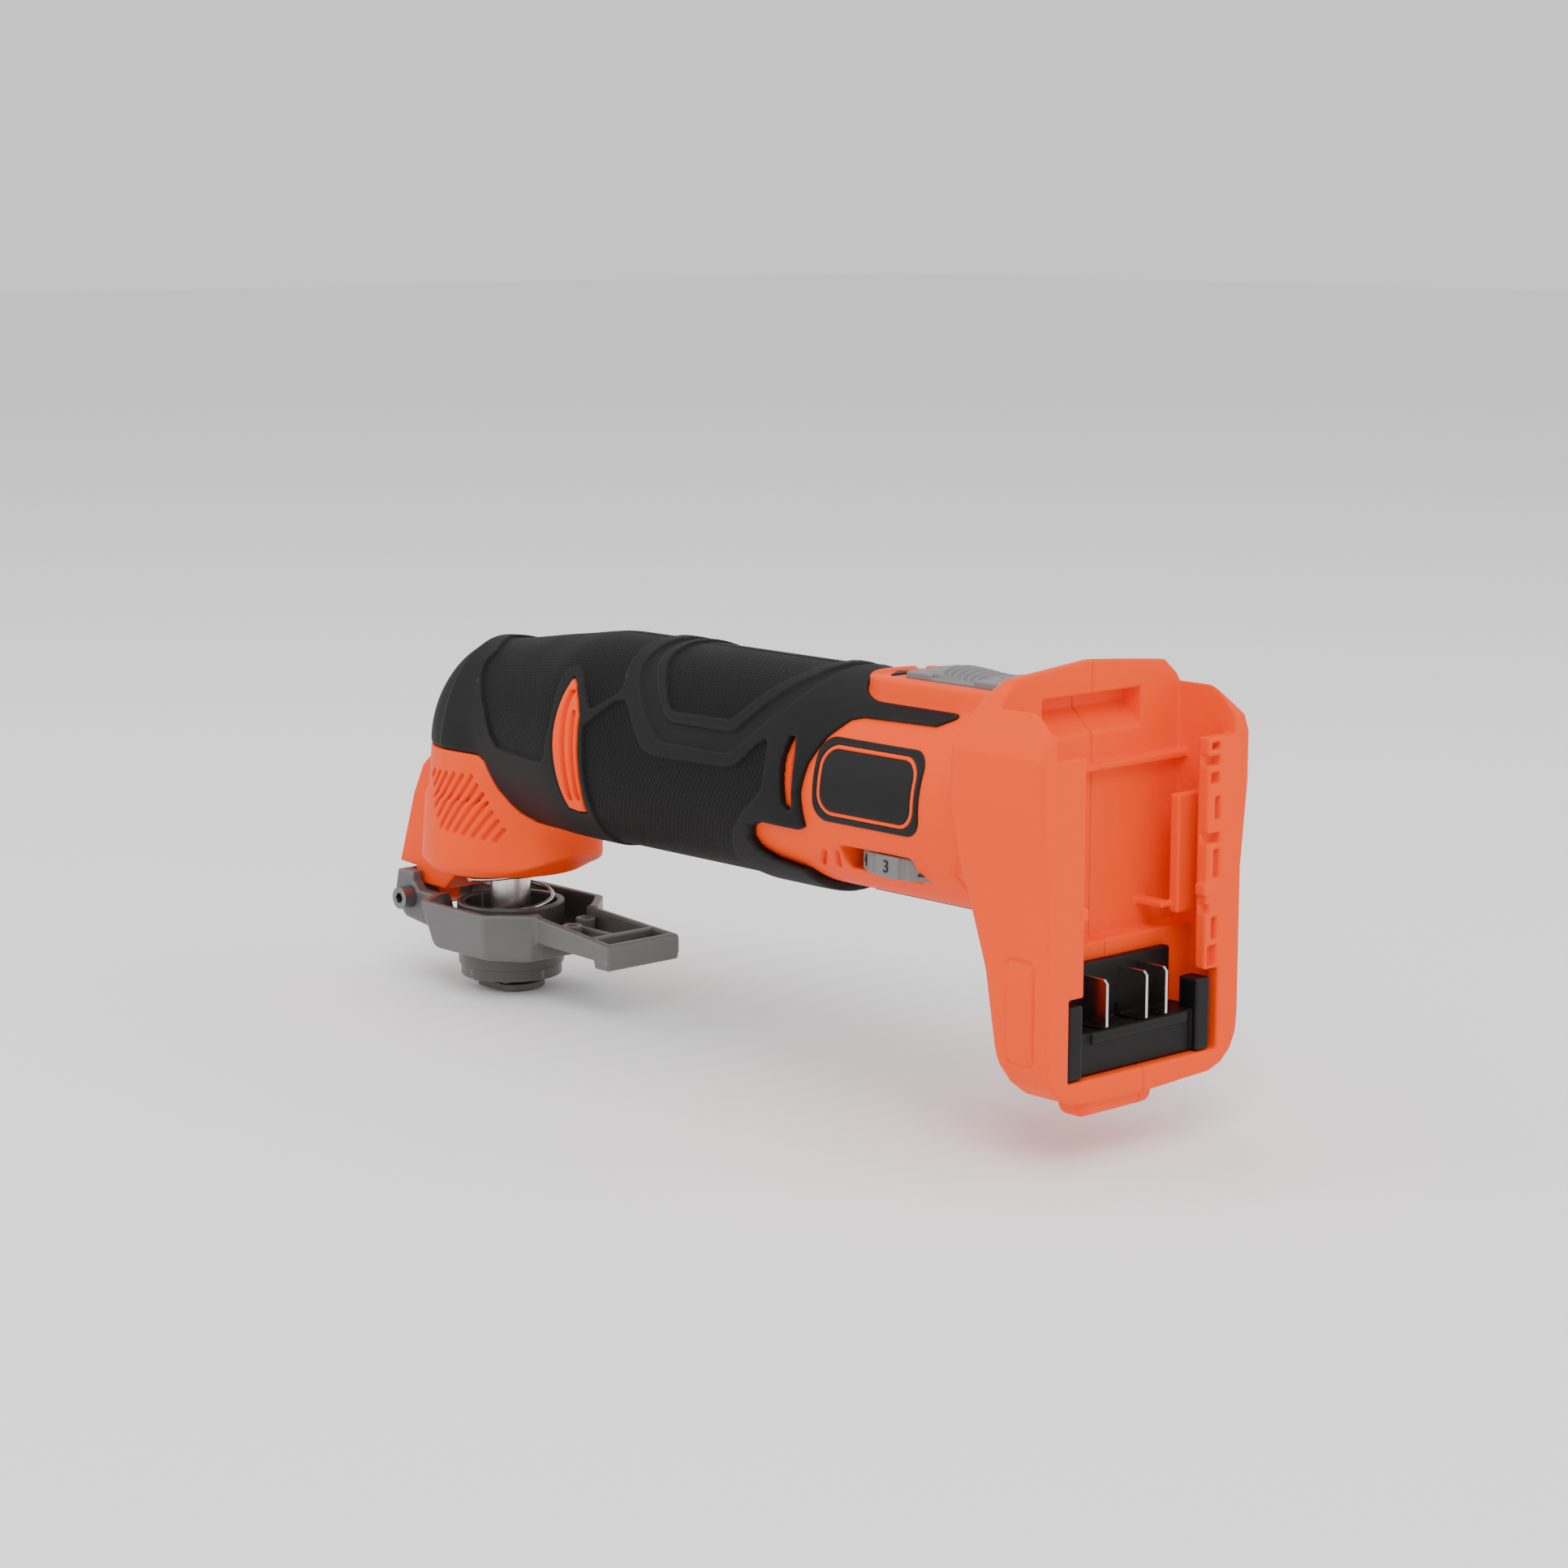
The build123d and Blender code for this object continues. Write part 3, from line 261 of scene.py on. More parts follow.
def body_form(x, y, z, inset=0.0):
    """Barrel, neck, head and nose as one flowing form."""
    slope = ((x - 236) * -12.5 + (z + 46 + inset) * -26.5) / 29.3
    tail = smooth_max(np.maximum(tail_form(x, y, z, inset), z + 24), slope, 1.5)
    neck = np.maximum(barrel_form(x, y, z, inset), x - SPINDLE_X)
    top = smooth_min(neck, head_form(x, y, z, inset), 5.0)
    whole = smooth_min(top, tail, 4.0)
    chamfer = (whole - z - 46 + inset + 3.4) / 1.414
    floor = smooth_max(chamfer, -46 + inset - z, 1.0)
    return smooth_max(whole, np.where(x > 215, floor, -9.0), 1.2)


# Outlines seen from the side: (along the tool, height).
BLACK_ZONE = [
    (97, -10.2), (111, -9.8), (114.6, -11.4), (116.8, -15), (116, -18.2),
    (112, -20.5), (102, -22.5), (101, -26),
    (101, -60), (203, -60),
    (203, -33), (209, -31), (218.5, -28.8), (224.5, -27.1), (229, -24.7), (232, -21.5), (234.5, -18),
    (236, -13.8), (237.3, -9.8), (240.4, -8.4), (300, -8.2), (300, 60), (47, 60), (47.4, 27.5), (49.8, 23.2),
    (54.5, 20.9), (80, 20.4), (84, 19.5), (89, 15), (93, 8), (95, 0), (94.5, -9),
]
VENT = [
    (193.6, 19.4), (191.6, 18.2), (187.6, 13.8), (185.2, 10), (184.4, 3), (184.3, -4), (184.9, -10),
    (187.2, -17.9), (190.5, -18.2), (194.2, -17.6), (194.4, -12), (194.6, -6), (194.9, 0), (195, 5),
    (194.8, 10), (194.4, 15),
]
REAR_SLOT = [(100.6, 13.8), (98.8, 13.8), (97.5, 9), (97.2, 3), (97.6, -4), (99, -4.8), (100.5, -3.4),
             (101, 2), (101.4, 8)]
FIN = [
    (268, -13.2), (281.5, -14.0), (286.5, -18.2), (291.4, -27.3), (299.2, -50.0), (291.0, -50.4),
    (290.6, -55.6), (276, -55.6), (270, -50),
]

# Outlines wrapped round the grip: (along the tool, distance round from the side towards the back).
NECK_PANEL = [
    (250.8, 47), (244.9, 33.6), (245.6, 26.9), (243.4, 20.3), (239.1, 13), (234.5, 5.7), (231.3, -1.2),
    (227.5, -5.2), (218.1, -5.4), (206.1, -5.2), (201.5, -4.8), (199.6, -3), (198.5, 1.2), (197.2, 6),
    (197.4, 11.8), (198.2, 16.7), (198.9, 21.2), (197.4, 24.4), (194.5, 25.4), (191.3, 23.5), (186.5, 18),
    (181.9, 13), (180.1, 13.4), (173.8, 17.6), (171.9, 19.9), (172.4, 22.4), (174.2, 25), (176.5, 31.3),
    (177.9, 37.5), (177.3, 43.8), (176.5, 60), (251, 60),
]
BARREL_PANEL = [
    (182.6, 7.6), (171.9, 16.5), (168.4, 17.1), (164.4, 13.3), (160.2, 8.2), (156.6, 4.8), (153, 3.4),
    (149.5, 3.2), (123, 3.6), (118.3, 4.7), (115, 7.6), (111.4, 11.3), (109, 13), (107.6, 11.8), (107, 6.1),
    (107.6, 0.2), (110.5, -3), (116.6, -8), (123, -14.9), (125.6, -18.8), (127.2, -23.1), (127.2, -29),
    (124, -38), (122, -60), (192, -60), (191, -42), (188.1, -33.3), (185.7, -24.4), (183.4, -16.6),
    (182.4, -9.8), (181.9, -0.2), (182.2, 4.6),
]
VALLEY = [
    (172.2, 60), (172.4, 42), (171.8, 35.2), (170.4, 29.2), (167.1, 23.8), (163, 19.2), (157.9, 13.6),
    (153.8, 10), (151, 8.2), (148, 7.5), (123.1, 7.6), (119.6, 8.9), (115.9, 12.5), (111.9, 17.2),
    (106.2, 23.6), (102.9, 30.4), (101, 40), (100, 60),
]
FRAME_BAND = [
    (167.4, 60), (167.8, 44), (167.2, 35.6), (165.9, 31.1), (162.4, 26.4), (156.7, 20.2), (151.3, 15.2),
    (149.4, 13.8), (147, 13.1), (123.4, 13.2), (121.2, 14), (119.4, 16), (113, 25.2), (106.5, 36.5),
    (104, 46), (103, 60),
]
UPPER_PANEL = [
    (165, 60), (165.4, 45), (164.6, 37.5), (162.5, 31.9), (157.3, 25.2), (151.6, 18.8), (149.6, 17),
    (147, 16.2), (125.4, 16.6), (123.4, 17.6), (118.7, 24.5), (111.4, 36), (107.8, 45), (107, 60),
]
FOOT_GROOVE = [(33, 21), (34.5, 17), (36, 5), (35, -3), (37, -8), (42, -15), (40.5, -19), (36, -23)]


def round_grip(y, z):
    """Distance round the grip from its side towards its back."""
    return GRIP_R * np.arctan2(z, np.abs(y))


def panel_share(x, y, z):
    """1 on the textured panels of the grip."""
    v = round_grip(y, z)
    share = step_in(outline_form(x, v, NECK_PANEL), 0.3) + step_in(outline_form(x, v, BARREL_PANEL), 0.3)
    return np.clip(share + step_in(outline_form(x, v, UPPER_PANEL), 0.3), 0.0, 1.0)


def grip_relief(x, y, z, sizes):
    """How far the grip's panels and valleys lie below its smooth bands."""
    v = round_grip(y, z)
    panel, valley = sizes.panel_depth * 1000, sizes.valley_depth * 1000
    relief = panel * step_in(outline_form(x, v, NECK_PANEL), 0.3)
    relief += panel * step_in(outline_form(x, v, BARREL_PANEL), 0.3)
    relief += valley * step_in(outline_form(x, v, VALLEY), 0.5)
    relief -= (valley - 0.1) * step_in(outline_form(x, v, FRAME_BAND), 0.4)
    relief += panel * step_in(outline_form(x, v, UPPER_PANEL), 0.3)
    return relief


def pad_plan(x, y):
    """Plan of the raised frame around the switch, round at its front end."""
    return np.where(x < FRAME_FRONT, np.abs(y) - FRAME_HALF, np.hypot(x - FRAME_FRONT, y) - FRAME_HALF)


# ---- meshing -------------------------------------------------------------------------------------
def placed(points):
    """Tool millimetres to the frame's metres."""
    return (np.asarray(points, float) - (SPINDLE_X, 0.0, FACE_Z)) / 1000.0


def sampled(form, low, high, step):
    """The form's values on a grid, worked out finely only near the surface."""
    coarse = 4
    counts = [int(math.ceil((b - a) / step / coarse)) for a, b in zip(low, high)]
    rough_axes = [a + step * coarse * np.arange(n + 1, dtype=np.float32) for a, n in zip(low, counts)]
    fine_axes = [a + step * np.arange(n * coarse + 1, dtype=np.float32) for a, n in zip(low, counts)]
    rough = form(*np.meshgrid(*rough_axes, indexing="ij"))
    nearest = [(np.arange(n * coarse + 1) + coarse // 2) // coarse for n in counts]
    values = rough[np.ix_(*nearest)].astype(np.float32)
    i, j, k = np.nonzero(np.abs(values) < 9 * step)
    values[i, j, k] = form(fine_axes[0][i], fine_axes[1][j], fine_axes[2][k])
    return values


def surface(form, low, high, step):
    """Vertices and four-sided faces on the form's surface."""
    values = sampled(form, low, high, step)
    inside = values < 0
    corners = [(a, b, c) for a in (0, 1) for b in (0, 1) for c in (0, 1)]
    size = [n - 1 for n in inside.shape]
    count = np.zeros(size, np.uint8)
    for a, b, c in corners:
        count += inside[a:a + size[0], b:b + size[1], c:c + size[2]]
    cells = np.argwhere((count > 0) & (count < 8))
    numbers = np.full(size, -1, np.int32)
    numbers[tuple(cells.T)] = np.arange(len(cells))
    level = [values[tuple((cells + corner).T)] for corner in corners]
    total = np.zeros((len(cells), 3))
    hits = np.zeros(len(cells))
    for p in range(8):
        for q in range(p + 1, 8):
            if sum(abs(a - b) for a, b in zip(corners[p], corners[q])) == 1:
                crossed = (level[p] < 0) != (level[q] < 0)
                t = np.where(crossed, level[p] / np.where(crossed, level[p] - level[q], 1.0), 0.0)
                spot = np.array(corners[p]) + t[:, None] * (np.array(corners[q]) - np.array(corners[p]))
                total += spot * crossed[:, None]
                hits += crossed
    points = (cells + total / hits[:, None]) * step + np.array(low)
    quads = []
    for axis in range(3):
        u, v = [(1, 2), (2, 0), (0, 1)][axis]
        here = [slice(None)] * 3
        there = [slice(None)] * 3
        here[axis], there[axis] = slice(None, -1), slice(1, None)
        change = inside[tuple(here)] != inside[tuple(there)]
        spots = np.argwhere(change)
        spots = spots[(spots[:, u] > 0) & (spots[:, v] > 0)]
        spots = spots[(spots[:, u] < size[u]) & (spots[:, v] < size[v])]
        back_u = np.zeros(3, int)
        back_v = np.zeros(3, int)
        back_u[u] = back_v[v] = 1
        ring = [spots, spots - back_u, spots - back_u - back_v, spots - back_v]
        face = np.stack([numbers[tuple(r.T)] for r in ring], axis=1)
        outward = inside[tuple(spots.T)]
        quads.append(np.where(outward[:, None], face, face[:, ::-1]))
    return points, np.concatenate(quads)


def drawn_to(form, points, step):
    """Vertices moved onto the form's surface."""
    points = points.copy()
    reach = 0.05
    for _ in range(2):
        x, y, z = points.T
        slope = np.stack([
            form(x + reach, y, z) - form(x - reach, y, z),
            form(x, y + reach, z) - form(x, y - reach, z),
            form(x, y, z + reach) - form(x, y, z - reach),
        ], axis=1) / (2 * reach)
        steep = np.maximum((slope ** 2).sum(1), 0.25)
        move = -form(x, y, z)[:, None] * slope / steep[:, None]
        points += np.clip(move, -0.4 * step, 0.4 * step)
    return points


def make_piece(name, points, faces, body, material):
    """A mesh object in the frame, riding on a body."""
    mesh = bpy.data.meshes.new(name)
    mesh.from_pydata(placed(points).tolist(), [], faces)
    mesh.shade_smooth()
    mesh.materials.append(material)
    piece = bpy.data.objects.new(name, mesh)
    bpy.context.scene.collection.objects.link(piece)
    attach(piece, body)
    return piece


def skin(name, form, low, high, step, body, material, keep=None, shares=None):
    """A piece whose surface is where the form is zero, with named shares stored on its vertices."""
    grid = step * 1000
    points, quads = surface(form, low, high, grid)
    points = drawn_to(form, points, grid)
    if keep is not None:
        kept = keep(*points.T)
        quads = quads[kept[quads].all(axis=1)]
        used = np.unique(quads)
        renumber = np.zeros(len(points), int)
        renumber[used] = np.arange(len(used))
        points, quads = points[used], renumber[quads]
    piece = make_piece(name, points, quads.tolist(), body, material)
    for share_name, share in (shares or {}).items():
        layer = piece.data.attributes.new(share_name, "FLOAT", "POINT")
        layer.data.foreach_set("value", share(*points.T).astype(np.float32))
    return piece


# ---- finishes ------------------------------------------------------------------------------------
def group_of(name, inputs, outputs):
    """A new shader node group with its named sockets, and its two end nodes."""
    tree = bpy.data.node_groups.new(name, "ShaderNodeTree")
    for label, value in inputs:
        socket = tree.interface.new_socket(label, in_out="INPUT", socket_type="NodeSocketFloat")
        socket.default_value = value
    for label in outputs:
        tree.interface.new_socket(label, in_out="OUTPUT", socket_type="NodeSocketFloat")
    return tree, tree.nodes.new("NodeGroupInput"), tree.nodes.new("NodeGroupOutput")


def math_node(tree, operation, *values):
    """A math node fed by sockets or numbers; returns its output."""
    node = tree.nodes.new("ShaderNodeMath")
    node.operation = operation
    for socket, value in zip(node.inputs, values):
        if isinstance(value, (int, float)):
            socket.default_value = value
        else:
            tree.links.new(value, socket)
    return node.outputs[0]


def noise_of(tree, vector, scale, detail=2.0, roughness=0.5):
    """Noise at a scale, which may be a socket; returns its value."""
    node = tree.nodes.new("ShaderNodeTexNoise")
    node.inputs["Detail"].default_value = detail
    node.inputs["Roughness"].default_value = roughness
    if isinstance(scale, (int, float)):
        node.inputs["Scale"].default_value = scale
    else:
        tree.links.new(scale, node.inputs["Scale"])
    tree.links.new(vector, node.inputs["Vector"])
    return node.outputs[0]


def build_groups():
    """The surface effects that the finishes share."""
    if "Moulded grain" in bpy.data.node_groups:
        return
    tree, start, end = group_of("Moulded grain", [("Scale", 2600.0)], ["Height", "Mottle"])
    place = tree.nodes.new("ShaderNodeTexCoord").outputs["Object"]
    fine = noise_of(tree, place, start.outputs["Scale"], 3.0, 0.6)
    broad = noise_of(tree, place, 38.0, 3.0, 0.55)
    tree.links.new(fine, end.inputs["Height"])
    tree.links.new(broad, end.inputs["Mottle"])

    # Painted edge highlight: a mask on convex edges from pointiness, broken up by noise.
    tree, start, end = group_of("Painted edge highlight", [("Spread", 0.06)], ["Mask"])
    curve = tree.nodes.new("ShaderNodeNewGeometry").outputs["Pointiness"]
    place = tree.nodes.new("ShaderNodeTexCoord").outputs["Object"]
    above = math_node(tree, "SUBTRACT", curve, 0.505)
    share = math_node(tree, "DIVIDE", above, start.outputs["Spread"])
    patchy_edge_highlight = math_node(tree, "MULTIPLY", share, noise_of(tree, place, 240.0, 4.0, 0.7))
    mask = tree.nodes.new("ShaderNodeClamp")
    tree.links.new(patchy_edge_highlight, mask.inputs["Value"])
    tree.links.new(mask.outputs[0], end.inputs["Mask"])

    tree, start, end = group_of("Raised dots", [("Pitch", 0.0016)], ["Height"])
    place = tree.nodes.new("ShaderNodeTexCoord").outputs["Object"]
    parts = tree.nodes.new("ShaderNodeSeparateXYZ")
    tree.links.new(place, parts.inputs[0])
    up = math_node(tree, "SUBTRACT", parts.outputs["Z"], -FACE_Z / 1000)
    out = math_node(tree, "ABSOLUTE", parts.outputs["Y"])
    round_way = math_node(tree, "MULTIPLY", math_node(tree, "ARCTAN2", up, out), GRIP_R / 1000)
    squares = []
    for sign in (1.0, -1.0):
        slanted = math_node(tree, "MULTIPLY_ADD", round_way, sign * 0.62, parts.outputs["X"])
        cell = math_node(tree, "FRACT", math_node(tree, "DIVIDE", slanted, start.outputs["Pitch"]))
        off = math_node(tree, "SUBTRACT", cell, 0.5)
        squares.append(math_node(tree, "MULTIPLY", off, off))
    spread = math_node(tree, "MULTIPLY", math_node(tree, "ADD", *squares), 7.0)
    dot = math_node(tree, "SUBTRACT", 1.0, spread)
    mask = tree.nodes.new("ShaderNodeClamp")
    tree.links.new(dot, mask.inputs["Value"])
    tree.links.new(mask.outputs[0], end.inputs["Height"])

    tree, start, end = group_of("Turned lines", [("Scale", 900.0)], ["Height"])
    place = tree.nodes.new("ShaderNodeTexCoord").outputs["Object"]
    stretch = tree.nodes.new("ShaderNodeMapping")
    stretch.inputs["Scale"].default_value = (0.12, 0.12, 1.0)
    tree.links.new(place, stretch.inputs["Vector"])
    tree.links.new(noise_of(tree, stretch.outputs[0], start.outputs["Scale"], 3.0, 0.6), end.inputs["Height"])


def placed_group(tree, name, **values):
    """A node that uses one of the shared groups with its own values."""
    node = tree.nodes.new("ShaderNodeGroup")
    node.node_tree = bpy.data.node_groups[name]
    for label, value in values.items():
        node.inputs[label].default_value = value
    return node


def finish(name, base, rough, metallic=0.0, grain=2600.0, grain_height=0.00002, mottle=0.12, edge=0.25,
           coat=0.0, turned=False, panels=None, specular=0.4, dark_below=None):
    """A moulded, cast or turned finish: grain, mottling, painted highlights on convex edges, optional dots
    and painted shade on the grip panels.
    """
    if name in bpy.data.materials:
        return bpy.data.materials[name]
    material = bpy.data.materials.new(name)
    material.use_nodes = True
    tree = material.node_tree
    shader = tree.nodes["Principled BSDF"]
    shader.inputs["Metallic"].default_value = metallic
    shader.inputs["Coat Weight"].default_value = coat
    shader.inputs["Specular IOR Level"].default_value = specular
    moulded = placed_group(tree, "Moulded grain", Scale=grain)
    painted_edges = placed_group(tree, "Painted edge highlight")
    shade = tree.nodes.new("ShaderNodeMix")
    shade.data_type = "RGBA"
    shade.inputs["A"].default_value = (*[c * (1 - mottle) for c in base], 1)
    shade.inputs["B"].default_value = (*[min(1.0, c * (1 + mottle)) for c in base], 1)
    tree.links.new(moulded.outputs["Mottle"], shade.inputs["Factor"])
    # Painted highlight: the colour is mixed towards white on convex edges, by the edge mask times edge.
    painted_highlight = tree.nodes.new("ShaderNodeMix")
    painted_highlight.data_type = "RGBA"
    painted_highlight.inputs["B"].default_value = (*[c + (1 - c) * 0.16 for c in base], 1)
    tree.links.new(shade.outputs["Result"], painted_highlight.inputs["A"])
    tree.links.new(math_node(tree, "MULTIPLY", painted_edges.outputs["Mask"], edge), painted_highlight.inputs["Factor"])
    tinted = painted_highlight.outputs["Result"]
    spread = math_node(tree, "MULTIPLY_ADD", moulded.outputs["Mottle"], 0.16, rough - 0.08)
    height = math_node(tree, "MULTIPLY", moulded.outputs["Height"], grain_height)
    if turned:
        lines = placed_group(tree, "Turned lines")
        height = math_node(tree, "MULTIPLY_ADD", lines.outputs["Height"], grain_height, height)
    if dark_below is not None:
        place = tree.nodes.new("ShaderNodeSeparateXYZ")
        tree.links.new(tree.nodes.new("ShaderNodeTexCoord").outputs["Object"], place.inputs[0])
        under = math_node(tree, "LESS_THAN", place.outputs["Z"], dark_below)
        oxide = tree.nodes.new("ShaderNodeMix")
        oxide.data_type = "RGBA"
        oxide.inputs["B"].default_value = (*[c * 0.2 for c in base], 1)
        tree.links.new(tinted, oxide.inputs["A"])
        tree.links.new(under, oxide.inputs["Factor"])
        tinted = oxide.outputs["Result"]
        spread = math_node(tree, "MULTIPLY_ADD", under, 0.25, spread)
    if panels:
        dots = placed_group(tree, "Raised dots", Pitch=panels)
        share = tree.nodes.new("ShaderNodeAttribute")
        share.attribute_name = "panel"
        # Painted shade: the grip panels get 0.3 of the base colour, so they read darker than the smooth
        # bands.
        painted_panel_shade = tree.nodes.new("ShaderNodeMix")
        painted_panel_shade.data_type = "RGBA"
        painted_panel_shade.inputs["B"].default_value = (*[c * 0.3 for c in base], 1)
        tree.links.new(tinted, painted_panel_shade.inputs["A"])
        tree.links.new(share.outputs["Fac"], painted_panel_shade.inputs["Factor"])
        tinted = painted_panel_shade.outputs["Result"]
        on_panel = math_node(tree, "MULTIPLY", dots.outputs["Height"], share.outputs["Fac"])
        height = math_node(tree, "MULTIPLY_ADD", on_panel, 0.00035, height)
    tree.links.new(tinted, shader.inputs["Base Color"])
    tree.links.new(spread, shader.inputs["Roughness"])
    bump = tree.nodes.new("ShaderNodeBump")
    bump.inputs["Distance"].default_value = 1.0
    bump.inputs["Strength"].default_value = 1.0
    tree.links.new(height, bump.inputs["Height"])
    tree.links.new(bump.outputs["Normal"], shader.inputs["Normal"])
    return material


def finishes(scene):
    """Every finish of the tool, by the record's slot names."""
    build_groups()
    c, sizes = scene.multitool_colours, scene.multitool_sizes
    return {
        "orange_plastic": finish("Orange plastic", c.orange, 0.5, grain=3200, grain_height=0.000012,
                                 mottle=0.03, edge=0.03, specular=0.12),
        "soft_grip_black": finish("Soft black grip", c.grip, 0.62, grain=4200, grain_height=0.00006,
                                  mottle=0.1, edge=0.1, panels=sizes.dot_pitch, specular=0.16),
        "black_plastic": finish("Hard black plastic", c.black, 0.5, grain=3000, grain_height=0.00001,
                                specular=0.2, edge=0.1),
        "grey_plastic": finish("Grey plastic", c.slider, 0.45, grain=3000, grain_height=0.000014),
        "dial_plastic": finish("Dial plastic", c.dial, 0.45, grain=3000, grain_height=0.000014),
        "lever_plastic": finish("Filled grey nylon", c.lever, 0.4, grain=2400, grain_height=0.000018,
                                edge=0.3),
        "holder_metal": finish("Blackened holder metal", c.holder, 0.4, metallic=0.35, grain=1800,
                               grain_height=0.000014, turned=True, edge=0.5),
        "cast_aluminium": finish("Cast aluminium", (0.42, 0.42, 0.43), 0.5, metallic=1.0, grain=1500,
                                 grain_height=0.00005),
        "polished_steel": finish("Polished steel", (0.62, 0.6, 0.58), 0.2, metallic=1.0, grain=2500,
                                 grain_height=0.000003, mottle=0.05, turned=True),
        "spindle": finish("Ground spindle, blackened flange", (0.72, 0.7, 0.68), 0.26, metallic=1.0,
                          grain=2500, grain_height=0.000003, mottle=0.05, turned=True, dark_below=-0.0012),
        "dark_steel": finish("Blackened steel", (0.1, 0.1, 0.105), 0.36, metallic=0.8, grain=1800,
                             grain_height=0.00001, edge=0.6),
        "bearing_steel": finish("Bearing steel", (0.5, 0.5, 0.5), 0.28, metallic=1.0, grain=2500,
                                grain_height=0.000004, turned=True),
        "magnet_ferrite": finish("Ferrite", (0.05, 0.05, 0.055), 0.6, grain=1400, grain_height=0.00004),
        "core_iron": finish("Core laminations", (0.22, 0.21, 0.2), 0.45, metallic=0.9, grain=900,
                            grain_height=0.00003, turned=True),
        "copper": finish("Enamelled copper", (0.55, 0.18, 0.06), 0.34, metallic=1.0, grain=700,
                         grain_height=0.00006, coat=0.4),
        "carbon": finish("Brush carbon", (0.02, 0.02, 0.02), 0.55, grain=2000, grain_height=0.00003),
        "brass": finish("Brass", (0.66, 0.46, 0.18), 0.3, metallic=1.0, grain=2400, grain_height=0.000006),
        "fan_plastic": finish("Fan nylon", c.fan, 0.5, grain=2600, grain_height=0.00002),
        "board_green": finish("Solder mask", (0.01, 0.09, 0.035), 0.3, grain=1200, grain_height=0.00002,
                              coat=0.5),
        "lead_insulation": finish("Lead insulation", (0.3, 0.02, 0.02), 0.5, grain=2600,
                                  grain_height=0.00002),
    }


def slot_of(node):
    """The record's material slot of a CAD node."""
    return next(row["material_slot"] for row in frame["record"]["subparts"] if row["node"] == node)


# ---- pieces --------------------------------------------------------------------------------------
SIDES = (("left", 1), ("right", -1))


def split_by_side(low, high, side):
    """The part of a symmetric volume on one side of the clamshell joint."""
    if side > 0:
        return (low[0], -0.6, low[2]), (high[0], high[1], high[2])
    return (low[0], -high[1], low[2]), (high[0], 0.6, high[2])


class MULTITOOL_OT_grips(Operator):
    """Soft black mouldings around barrel, neck and head, with textured panels and raised bands"""
    bl_idname = "multitool.grips"
    bl_label = "Soft grips"

    def execute(self, context):
        sizes = context.scene.multitool_sizes
        material = finishes(context.scene)["soft_grip_black"]
        for label, side in SIDES:
            def form(x, y, z, side=side):
                out = y * side
                whole = body_form(x, y, z)
                outer = whole + grip_relief(x, y, z, sizes)
                d = smooth_max(outer, outline_form(x, z, BLACK_ZONE), 1.5)
                pad = np.where(z > 12, 0.3 - pad_plan(x, y), -9.0)
                d = smooth_max(d, pad, 0.9)
                windows = smooth_min(outline_form(x, z, VENT), outline_form(x, z, REAR_SLOT), 0.1)
                d = smooth_max(d, np.where(out > 8, 0.25 - windows, -9.0), 0.9)
                d = np.maximum(d, -(whole + 3.0))
                return smooth_max(d, 0.06 - out, 0.4)

            low, high = split_by_side((48, 0, -32.5), (279, 32.5, 32.5), side)
            piece = skin(f"soft_grip_{label}", form, low, high, sizes.skin_step, "root",
                         material, keep=lambda x, y, z: body_form(x, y, z) > -2.7,
                         shares={"panel": panel_share})
            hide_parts(f"grip_{label}")
        return {"FINISHED"}


def foot_outside(x, y, z):
    """Outside of the battery foot."""
    across = np.abs(y)
    rear = [
        (-9, -67), (25, -65.6), (29.5, -64), (33, -61), (35, -57), (35.6, -52), (35.6, -14), (37.8, 8),
        (37.8, 20.5), (36, 25), (31.8, 33.6), (27, 37.6), (0, 40.3), (-9, 40.3),
    ]
    side = [
        (-9, -70), (9.5, -70), (14, -65), (18.5, -55), (22.6, -34), (27.4, -20), (31.5, -8), (33.5, 8),
        (32.5, 23), (27.5, 33), (23, 42), (17, 42), (0, 24.8), (0, -70),
    ]
    soft = np.interp(x, [2.0, 9.0, 22.0], [0.9, 2.0, 4.6])
    return smooth_max(outline_form(across, z, rear), outline_form(x, z, side), soft)


FOOT_ROOMS = [
    ((3.5, -ROOM_HALF, -30), (ROOM_FRONT, ROOM_HALF, 52), 0.4),
    ((3.5, -ROOM_HALF, -60), (13.5, ROOM_HALF, -29), 0.4),
    ((-2, -RAIL_INNER, -40), (4.5, RAIL_INNER, 52), 0.4),
    ((-2, -ROOM_HALF, 20), (4.5, ROOM_HALF, 52), 0.4),
    ((-2, -RAIL_OUTER, -60), (4.5, RAIL_OUTER, -39), 0.4),
]
FOOT_RIBS = [
    ((15.8, -32.6, 12.5), (20, 32.6, 14.3), 0.3),
    ((8, -32.8, -25.4), (11, -20.6, 5), 0.4),
    ((10, -21, -24), (19.5, -17, -22.4), 0.3),
]
RAIL_NUB = ((-0.38, 21.2, -20), (3, 23.6, -16.8), 0.5)
RAIL_POCKETS = [
    (-27.2, -25.2, -0.8, 5.0), (-27.2, -21.9, -6.8, -4.2), (-27.2, -25.0, -15.8, -8.5),
    (-23.6, -21.9, -24.6, -22.3), (-26.6, -24.6, -31.5, -25.8), (-26.6, -23.3, -38.4, -33.0),
    (-26.8, -23.4, 8.4, 11.2), (-26.8, -21.9, 13.0, 15.4), (-26.8, -23.6, 17.0, 18.8),
]
LATCH_POCKET = [(18, 21.5), (19, 21.5), (26, 27.5), (26, 31.5), (18, 31.5)]
SLIT_LINES = [[(86, -15), (88.5, -19)], [(91, -15.5), (95, -19.5)]]


def rail_openings(x, y, z):
    """Pockets between the small hooks along the inner edge of the right battery rail."""
    return joined_boxes(x, y, z, [((-2, inner, bottom), (2.4, outer, top), 0.2)
                                  for inner, outer, bottom, top in RAIL_POCKETS])


